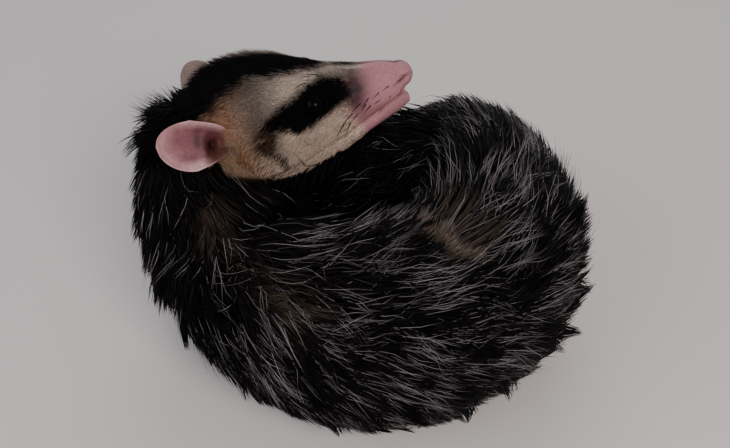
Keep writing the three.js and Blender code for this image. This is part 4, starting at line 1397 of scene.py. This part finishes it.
def on_unwrap(t, angle, sheet):
    """A root's place on the unwrap: share along and angle round, inside the form's own sheet of the map."""
    left, low, wide, tall = sheet
    turn = (angle / math.tau) % 1.0
    x = left + SHEET_EDGE + t * (wide - 2 * SHEET_EDGE)
    return np.stack([x, low + SHEET_EDGE + turn * (tall - 2 * SHEET_EDGE)], axis=-1)


# %% [markdown]
# No hair may grow through an ear, in the head or over an open parting. Tufts that would are left out, or
# stopped short of the parting.

# %% Where no tuft may be
CANAL_ROOM = 5.5  # mm round the opening of the canal without hair


def before_ear(paths):
    """True for tufts that have a point in front of an ear, inside its outline, or in its canal."""
    found = np.zeros(len(paths), bool)
    for column in range(paths.shape[1]):
        found |= canal_distance(paths[:, column]) < CANAL_ROOM
        for side in (RIGHT, LEFT):
            v, u, off = ear_share(paths[:, column], side)
            off = off - ear_height(v, u)
            within = (v > 0.03) & (v < 1) & (np.abs(u) < 1.02 * ear_profile(v))
            found |= within & (off > -1.5) & (off < EAR_ROOM)
    return found


def clear_of(paths, forms, limit=1.0):
    """True for tufts with their root outside of all forms, clear of the ears and nowhere in the head."""
    keep = ~before_ear(paths)
    for form in forms:
        columns = (0, paths.shape[1] // 2, -1) if isinstance(form, HeadForm) else (0,)
        for column in columns:
            keep &= form.depth(paths[:, column]) > limit
    return keep


def between(rows, share):
    """The points at a share of their length on rows of points."""
    place = np.clip(share, 0, 1) * (rows.shape[1] - 1)
    i = np.minimum(place.astype(int), rows.shape[1] - 2)
    w = (place - i)[:, None]
    row = np.arange(len(rows))
    return rows[row, i] * (1 - w) + rows[row, i + 1] * w


ROWS = ("paths", "uprights")


def stop_at_parting(batch):
    """Ends each tuft just before the first open line that it would cross, and notes the share left."""
    paths = batch["paths"]
    left = np.ones(len(paths))
    for share in np.linspace(1, 0, 14):
        opened = parting_share(between(paths, np.full(len(paths), share)))
        left = np.where(opened > 0.55, share, left)
    shares = np.linspace(0, 1, paths.shape[1])
    cut = {key: np.stack([between(batch[key], left * share) for share in shares], axis=1) for key in ROWS}
    return {**batch, **cut, "left": left}


# %% [markdown]
# ## The coat of the body
# Near-black guard hair lies in locks over the whole back, with single silver hairs through it. Where the
# body bends the coat opens and shows its pale wool. Those partings are placed where the photo has them.

# %% How one batch of tufts is grown
# Left, low, width and height of each form's own sheet of the unwrap
SHEETS = {
    "trunk": (0.0, 0.0, 1.0, 0.5),
    "neck": (0.0, 0.5, 0.5, 0.25),
    "thigh": (0.5, 0.5, 0.25, 0.25),
    "skull": (0.0, 0.75, 0.5, 0.25),
    "jaw": (0.5, 0.75, 0.25, 0.25),
    **{name: (0.75, 0.5 + 0.12 * i, 0.25, 0.12) for i, name in enumerate(legs)},
}
FORMS = {"trunk": trunk, "neck": neck, "thigh": thigh, "skull": skull, "jaw": jaw, **legs}
DENSITY_SCALE = 1.0  # fewer tufts for a quick trial
HEAD_FORMS = [skull, jaw]
SWIRL_SIZE = 42  # mm from one swirl of the coat to the next
COAT_SINK, FUR_SINK = 1.5, 0.5  # mm that roots start below the skin, on the body and on the head


def planted(name, density, t_range, angle_range, seed):
    """Random numbers and roots of a batch: the generator, the form, shares, angles and points."""
    form = FORMS[name]
    draw = np.random.default_rng(seed)
    t, angle = spread(form, density * DENSITY_SCALE, t_range, angle_range, draw)
    return draw, form, t, angle, form.point(t, angle, 1.0)


def lock_size(coat):
    """Size of tufts against the depth of the coat that they stand in."""
    return np.clip(0.45 + coat / 30, 0.4, 1.1)


def grow(name, density, t_range, angle_range, look, seed):
    """Tufts on a form: roots, walk, locks and waves, as rows of one table.

    The look gives length, width and thickness in mm, steps, how far tufts rise and how unevenly, how much
    they stray, swirl and wave, what share stands out wildly, and how strongly and over what area they are
    drawn into locks.
    """
    draw, form, t, angle, roots = planted(name, density, t_range, angle_range, seed)
    coat = form.section(t)[6]
    size = lock_size(coat)
    lean = look["swirl"] * ripple(roots, SWIRL_SIZE, 7) + draw.normal(0, look["stray"], len(t))
    length = look["length"] * size * draw.uniform(0.7, 1.25, len(t))
    start = form.core - COAT_SINK / np.maximum(coat, 2.0)
    end = draw.normal(look["rise"], look["uneven"], len(t))
    wild = draw.uniform(0, 1, len(t)) < look["wild"]
    end = end + wild * draw.uniform(0.15, 0.45, len(t))
    lean = lean + wild * draw.normal(0, 0.5, len(t))
    paths, uprights = walk(form, t, angle, length, lean, start, end, look["steps"])
    lock_t, lock_angle = spread(form, 1 / look["lock_area"], t_range, angle_range, draw)
    lock_roots = form.point(lock_t, lock_angle, 1.0)
    lock_lean = look["swirl"] * ripple(lock_roots, SWIRL_SIZE, 7) + draw.normal(0, 0.28, len(lock_t))
    lock_length = look["length"] * lock_size(form.section(lock_t)[6])
    lock_end = draw.normal(look["rise"], 0.15, len(lock_t))
    lock_rise = (np.full(len(lock_t), form.core), lock_end, look["steps"])
    lock_paths, _ = walk(form, lock_t, lock_angle, lock_length, lock_lean, *lock_rise)
    share = np.linspace(0, 1, look["steps"] + 1)[None, :, None]
    pull = look["pull"] * (1 - wild)[:, None, None] * draw.uniform(0.6, 1.2, (len(t), 1, 1))
    paths = paths + (lock_paths[nearest(roots, lock_roots)] - paths) * np.clip(pull, 0, 0.95) * share**1.4
    if look["wave"]:
        side = unit(np.cross(unit(np.gradient(paths, axis=1)), uprights))
        phase = draw.uniform(0, math.tau, (len(t), 1, 1))
        turns = draw.uniform(0.5, 1.3, (len(t), 1, 1))
        paths = paths + side * look["wave"] * np.sin(share * turns * math.tau + phase) * share
    return dict(
        t=t,
        roots=roots,
        paths=paths,
        uprights=uprights,
        width=np.maximum(look["width"] * draw.uniform(0.7, 1.3, len(t)) * size, look["least"]),
        thick=look["thick"] * draw.uniform(0.8, 1.2, len(t)),
        unwrap=on_unwrap(t, angle, SHEETS[name]),
        draw=draw,
    )


def kept(batch, keep, root_colour, tip_colour):
    """The tufts to keep, in the order that coat_piece takes."""
    rows = [batch[k][keep] for k in ("paths", "uprights", "width", "thick")]
    return (*rows, root_colour[keep], tip_colour[keep], batch["unwrap"][keep])


# %% Dark guard hair
DARK = dict(
    length=27.0, width=1.8, least=0.5, thick=0.5, steps=3, rise=0.95, uneven=0.1,
    stray=0.18, swirl=0.28, wild=0.0, wave=0.0, pull=0.6, lock_area=55.0,
)


def dark_batch(name, density, t_range, angle_range, seed, blocked, **changes):
    """Near-black tufts, a little brown at the root, thinned where the coat parts."""
    batch = stop_at_parting(grow(name, density, t_range, angle_range, {**DARK, **changes}, seed))
    tone = batch["draw"].uniform(0.4, 1.8, (len(batch["t"]), 1))
    brown = parting_share(batch["roots"])
    root = blend(DARK_ROOT * tone, UNDERFUR, 0.7 * brown)
    tip = blend(DARK_TIP * tone, UNDERFUR, np.where(brown < 0.5, brown, 0.1))
    keep = clear_of(batch["paths"], blocked) & (batch["left"] > 0.3) & (cheek_share(batch["roots"]) < 0.4)
    return kept(batch, keep, root, tip)


def cheek_batch(name, density, t_range, angle_range, seed):
    """Short tan tufts where the cheek runs on over the start of the neck."""
    look = dict(DARK, length=5.0, width=0.5, thick=0.15, rise=0.55, uneven=0.05, pull=0.3)
    batch = grow(name, density, t_range, angle_range, look, seed)
    tone = batch["draw"].uniform(0.8, 1.15, (len(batch["t"]), 1))
    share = np.minimum(cheek_share(batch["roots"]), cheek_share(batch["paths"][:, -1]))
    keep = clear_of(batch["paths"], HEAD_FORMS) & (batch["draw"].uniform(0.1, 0.9, len(share)) < share)
    hair = CHEEK_HAIR * tone
    # Painted shade: each tuft is darker at its root than at its tip
    return kept(batch, keep, hair * 0.8, hair)


NAPE = dict(length=11.0, width=0.6, least=0.35, rise=1.5, uneven=0.3, pull=0.3, stray=0.2)
NAPE_UNDER = dict(length=15.0, width=0.9, rise=1.45, uneven=0.35)
THIGH_TOP = dict(length=26.0, rise=1.5, uneven=0.3)
# Low on the near side the locks close to points and stand out from the body, like a hem
HEM = dict(length=25.0, width=0.9, rise=1.06, uneven=0.05, pull=0.9, lock_area=85.0, stray=0.1)
ROUND = (-85, 255)  # degrees, without the line that lies on the floor
ALL_ROUND = (-90, 270)
NECK_HEAD, TRUNK_HEAD = [neck, *HEAD_FORMS], [trunk, *HEAD_FORMS]
coat_piece(
    "coat_chest", fur_dark, "coat",
    dark_batch("trunk", 0.42, (-0.02, 0.33), ROUND, 21, NECK_HEAD),
    dark_batch("neck", 0.5, (0.0, 0.95), ALL_ROUND, 22, TRUNK_HEAD, length=24.0),
    dark_batch("neck", 0.4, (0.0, 0.36), (20, 140), 49, HEAD_FORMS, **NAPE_UNDER),
    dark_batch("neck", 1.2, (0.0, 0.4), (50, 120), 53, HEAD_FORMS, **NAPE),
)
coat_piece("coat_loin", fur_dark, "coat", dark_batch("trunk", 0.4, (0.33, 0.6), ROUND, 23, NECK_HEAD))
coat_piece("coat_rump", fur_dark, "coat", dark_batch("trunk", 0.38, (0.6, 0.99), ROUND, 24, HEAD_FORMS))
coat_piece(
    "coat_limbs", fur_dark, "coat",
    dark_batch("thigh", 0.45, (0.0, 0.98), ALL_ROUND, 25, TRUNK_HEAD, length=22.0),
    dark_batch("thigh", 0.4, (0.0, 0.6), (30, 150), 47, HEAD_FORMS, **THIGH_TOP),
    dark_batch("foreleg_right", 0.6, (0.0, 0.9), ALL_ROUND, 26, [thigh, trunk, *NECK_HEAD], length=20.0),
    dark_batch("hindleg_right", 0.9, (0.2, 0.9), ALL_ROUND, 27, [trunk, thigh], length=14.0, width=1.2),
    dark_batch("foreleg_left", 0.7, (0.0, 0.9), ALL_ROUND, 28, [trunk, neck], length=17.0, width=1.4),
    dark_batch("hindleg_left", 0.9, (0.0, 0.9), ALL_ROUND, 29, [trunk, thigh], length=14.0, width=1.2),
)
hem = dark_batch("trunk", 0.3, (0.2, 0.62), (-70, 50), 54, HEAD_FORMS, **HEM)
coat_piece("coat_hem", fur_dark, "coat", hem)

# %% [markdown]
# ## Silver hair
# A guard hair turns silver where it has no pigment. Each silver hair is a tuft of its own, as thin as the
# picture can hold and bent in a wave, because a painted streak on a black lock would stay flat.

# %% Silver guard hair
SILVERY = dict(
    length=32.0, width=0.36, least=0.28, thick=0.26, steps=5, rise=1.04, uneven=0.1,
    stray=0.24, swirl=0.28, wild=0.0, wave=1.9, pull=0.6, lock_area=110.0,
)
HEM_SILVER = dict(rise=1.08, uneven=0.05, pull=0.9, lock_area=85.0)
THIGH_SILVER = dict(length=26.0, rise=1.6, uneven=0.3)


def silver_batch(name, density, t_range, angle_range, seed, blocked, **changes):
    """Single silver hairs: thin, wavy and a little longer than the rest, with dark feet.

    They are fewest on the neck and the shoulder, and thickest from the flank to the rump.
    """
    batch = stop_at_parting(grow(name, density, t_range, angle_range, {**SILVERY, **changes}, seed))
    count = len(batch["t"])
    tone = batch["draw"].uniform(0.35, 1.25, (count, 1)) ** 1.3
    chance = 0.4 + 0.6 * soft(batch["roots"] @ (0.55, -0.45, -0.2) + 24, 50)
    keep = clear_of(batch["paths"], blocked) & (batch["draw"].uniform(0, 1, count) < chance)
    return kept(batch, keep & (batch["left"] > 0.4), SILVER_ROOT * tone, SILVER * tone)


coat_piece(
    "silver_front", fur_silver, "coat",
    silver_batch("trunk", 0.12, (0.02, 0.45), ROUND, 31, NECK_HEAD),
    silver_batch("trunk", 0.045, (0.2, 0.7), (-70, 90), 55, HEAD_FORMS, **HEM_SILVER),
    silver_batch("neck", 0.05, (0.45, 0.95), ALL_ROUND, 32, TRUNK_HEAD, length=26.0),
    silver_batch("foreleg_right", 0.05, (0.1, 0.7), ALL_ROUND, 35, [thigh, trunk, *NECK_HEAD], length=20.0),
)
coat_piece(
    "silver_back", fur_silver, "coat",
    silver_batch("trunk", 0.12, (0.45, 0.99), ROUND, 33, HEAD_FORMS),
    silver_batch("thigh", 0.17, (0.0, 0.9), ALL_ROUND, 34, TRUNK_HEAD, length=24.0),
    silver_batch("thigh", 0.05, (0.0, 0.6), (30, 150), 48, HEAD_FORMS, **THIGH_SILVER),
)

# %% [markdown]
# The wool under the guard hair is pale. It shows only in the partings, as short tufts that stray to all
# sides, where the guard hair lies in one direction.

# %% Pale wool in the partings
WOOL = dict(DARK, length=6.5, width=0.42, least=0.3, thick=0.15, rise=0.8, uneven=0.1, stray=0.6, pull=0.35)


def wool_batch(name, density, t_range, angle_range, seed, blocked):
    """Short pale tufts, grown everywhere in a range and kept where the coat is open."""
    batch = grow(name, density, t_range, angle_range, WOOL, seed)
    count = len(batch["t"])
    tone = batch["draw"].uniform(0.75, 1.15, (count, 1))
    open_share = parting_share(batch["roots"])
    keep = clear_of(batch["paths"], blocked) & (batch["draw"].uniform(0.3, 0.75, count) < open_share)
    return kept(batch, keep, UNDERFUR * tone, WOOL_TIP * tone)


coat_piece(
    "parting_wool", fur_silver, "coat",
    wool_batch("trunk", 6.0, (0.22, 0.58), (25, 120), 36, NECK_HEAD),
    wool_batch("neck", 4.0, (0.6, 0.98), (30, 140), 37, TRUNK_HEAD),
)

# %% [markdown]
# ## Fur of the head
# On the face the fur is short and dense, so it gets the smallest tufts, in the colour of the skin below.
# It is left off the nose, the eyes and the ears. Behind the ears it gets long and stands up as a ruff.

# %% Face fur and nape
HAIR_BACK = [0, 18, 30, 45, 70, 95, 110]  # mm behind the nose tip, and how long the fur is there
HAIR_LENGTH = [0.9, 1.1, 1.8, 2.6, 3.3, 4.6, 6.0]
EYE_ROOM = 4.3  # mm round the eye without fur


def batch_of(name, t, angle, paths, uprights, width, flatness):
    """A batch of tufts that are a share as thick as they are wide."""
    unwrap = on_unwrap(t, angle, SHEETS[name])
    return dict(paths=paths, uprights=uprights, width=width, thick=width * flatness, unwrap=unwrap)


def face_batch(name, density, t_range, angle_range, seed, blocked):
    """Short tufts on the skull or the jaw, longer towards the nape."""
    draw, form, t, angle, roots = planted(name, density, t_range, angle_range, seed)
    local = head_local(roots)
    forward, side, up = local.T
    crown = soft(outline(forward, STRIPE_BACK, STRIPE_HALF) - np.abs(side), 3) * (up > 4)
    fringe = bell(side - 11, 4) * soft(-45 - forward, 12) * (up > 4)
    length = np.interp(-forward, HAIR_BACK, HAIR_LENGTH)
    length = length * draw.uniform(0.75, 1.25, len(t)) * (1 + 0.9 * crown)
    lean = 0.2 * ripple(roots, 18, 12) + draw.normal(0, 0.13, len(t))
    depth = face_fur_depth(forward)
    end = 1.0 + draw.normal(0.05, 0.12, len(t)) + (0.15 + 0.5 * crown + 2.5 * fringe) / depth
    paths, uprights = walk(form, t, angle, length, lean, -FUR_SINK / depth, end, 2, 0.7)
    spread_roots = roots + draw.normal(0, 0.5, roots.shape)
    colour = face_colour(spread_roots) * draw.uniform(0.9, 1.1, (len(t), 1))
    width = np.interp(length, [1, 4, 8, 14], [0.34, 0.5, 0.9, 1.3]) * draw.uniform(0.8, 1.2, len(t))
    eye = np.linalg.norm((local - EYE_PLACE * (1, 0, 1)) * (1, 0, 1.5), axis=1)
    keep = (eye > EYE_ROOM) & clear_of(paths, blocked, 1.02) & (bare_flesh(paths[:, -1]) < 0.5)
    bare = soft(forward - np.interp(up, MUZZLE_UP, MUZZLE_BACK) + 1, 7)
    keep &= draw.uniform(0, 1, len(t)) > bare
    for hand in (RIGHT, LEFT):
        v, u, off = ear_share(roots, hand)
        keep &= ~((v > 0.02) & (np.abs(u) < 0.7) & (np.abs(off) < 7) & (np.sign(side) == hand))
    batch = batch_of(name, t, angle, paths, uprights, width, 0.25)
    # Painted shade: each tuft is darker at its root than at its tip
    return kept(batch, keep, colour * 0.85, colour * 1.03)


def ruff_batch(density, t_range, angle_range, seed):
    """Long black hair on the back of the skull that stands away from it."""
    draw, _, t, angle, roots = planted("skull", density, t_range, angle_range, seed)
    lean = 0.3 * ripple(roots, 22, 14) + draw.normal(0, 0.3, len(t))
    depth = face_fur_depth(head_local(roots)[:, 0])
    back = soft(t - 0.85, 0.14)
    end = 1 + draw.uniform(0.2, 1.1, len(t)) * (1 + 7 * back) / depth
    length = draw.uniform(8, 14, len(t)) * (1 + 0.5 * back)
    paths, uprights = walk(skull, t, angle, length, lean, -FUR_SINK / depth, end, 3, 1.0)
    lift = draw.uniform(2, 13, len(t)) * back
    paths = paths + HEAD_AXES[2] * lift[:, None, None] * np.linspace(0, 1, 4)[None, :, None]
    colour = BLACK * draw.uniform(0.6, 2.4, (len(t), 1))
    batch = batch_of("skull", t, angle, paths, uprights, draw.uniform(0.4, 0.9, len(t)), 0.4)
    keep = ~before_ear(paths) & (face_colour(roots).sum(axis=1) < 0.02)
    return kept(batch, keep, colour, colour)


def throat_batch(density, seed):
    """Black hair that hangs from the underside of the jaw and fills the fold to the body."""
    draw, _, t, angle, roots = planted("jaw", density, (0.35, 0.98), (195, 345), seed)
    lean = draw.normal(0, 0.35, len(t))
    depth = face_fur_depth(head_local(roots)[:, 0])
    end = draw.uniform(3, 9, len(t)) / depth
    paths, uprights = walk(jaw, t, angle, draw.uniform(7, 14, len(t)), lean, -FUR_SINK / depth, end, 3, 1.0)
    colour = BLACK * draw.uniform(0.6, 2.4, (len(t), 1))
    batch = batch_of("jaw", t, angle, paths, uprights, draw.uniform(0.7, 1.3, len(t)), 0.4)
    lowest = np.sin(angle) < -0.35 - 0.3 * (t < 0.5)
    return kept(batch, lowest & clear_of(paths, [neck, trunk]), colour, colour)


coat_piece(
    "face_fur_front", fur_face, "face_fur",
    face_batch("skull", 3.4, (0.16, 0.56), ALL_ROUND, 41, []),
)
coat_piece(
    "face_fur_middle", fur_face, "face_fur",
    face_batch("skull", 2.4, (0.56, 0.76), ALL_ROUND, 44, [jaw, trunk]),
)
coat_piece(
    "face_fur_back", fur_face, "face_fur",
    face_batch("skull", 1.6, (0.76, 0.99), ALL_ROUND, 42, [neck, trunk]),
    cheek_batch("neck", 2.0, (0.3, 0.85), (60, 150), 50),
    ruff_batch(2.2, (0.8, 1.0), (10, 170), 45),
)
coat_piece(
    "jaw_fur", fur_face, "face_fur",
    face_batch("jaw", 2.6, (0.15, 0.98), (140, 400), 43, [neck, trunk]),
    throat_batch(0.6, 46),
)

# %% [markdown]
# Whiskers are single stiff black hairs. They stand in short rows on the lip, with a few more over the eye
# and on the cheek.

# %% Whiskers
WHISKER_STEPS, WHISKER_WIDTH = 5, 0.38


def skull_spot(forward, up, side):
    """Share and angle of the place on the skull that is this far forward and up, on one side."""
    t = skull.share_at(forward)
    _, _, top, middle, under = skull.ring(t)
    s = np.clip((up - middle) / np.where(up > middle, top - middle, middle - under), -0.98, 0.98)
    return t, np.arcsin(s) if side == LEFT else math.pi - np.arcsin(s)


def whisker_batch(side, seed):
    """Bent black hairs of one side: root + s * way + s^2 * sag, with s from 0 at the root to 1 at the tip."""
    draw = np.random.default_rng(seed)
    rows = [(-13 - 5 * i, 0.5 - 3.6 * j - 0.4 * i, 3 + 1.2 * i) for j in range(2) for i in range(3)]
    rows += [(-25 - 2.2 * i, -2.5 - 1.3 * i + 2.6 * (i % 2), 4.5 + 0.4 * i) for i in range(6)]
    rows += [(-40, 15.5, 9), (-43, 16.5, 11), (-46, 16.0, 8)]
    forward, up, length = np.array(rows, float).T
    t, angle = skull_spot(forward, up, side)
    roots = skull.point(t, angle, 0.0)
    out = unit(skull.point(t, angle, 6.0) - roots)
    back = -HEAD_AXES[0]
    way = unit(out + back * draw.uniform(0.5, 1.1, (len(t), 1)) + draw.normal(0, 0.12, (len(t), 3)))
    sag = unit(0.5 * back - UP + draw.normal(0, 0.3, (len(t), 3))) * length[:, None] * 0.6
    s = np.linspace(0, 1, WHISKER_STEPS + 1)[None, :, None]
    paths = roots[:, None] + s * (way * length[:, None])[:, None] + s**2 * sag[:, None]
    uprights = np.repeat(unit(np.cross(way, sag))[:, None], WHISKER_STEPS + 1, axis=1)
    black = np.tile(WHISKER, (len(t), 1))
    width = np.full(len(t), WHISKER_WIDTH)
    return (paths, uprights, width, width * 0.8, black, black, on_unwrap(t, angle, SHEETS["skull"]))


coat_piece("whiskers", fur_dark, "face_fur", whisker_batch(RIGHT, 51), whisker_batch(LEFT, 52))
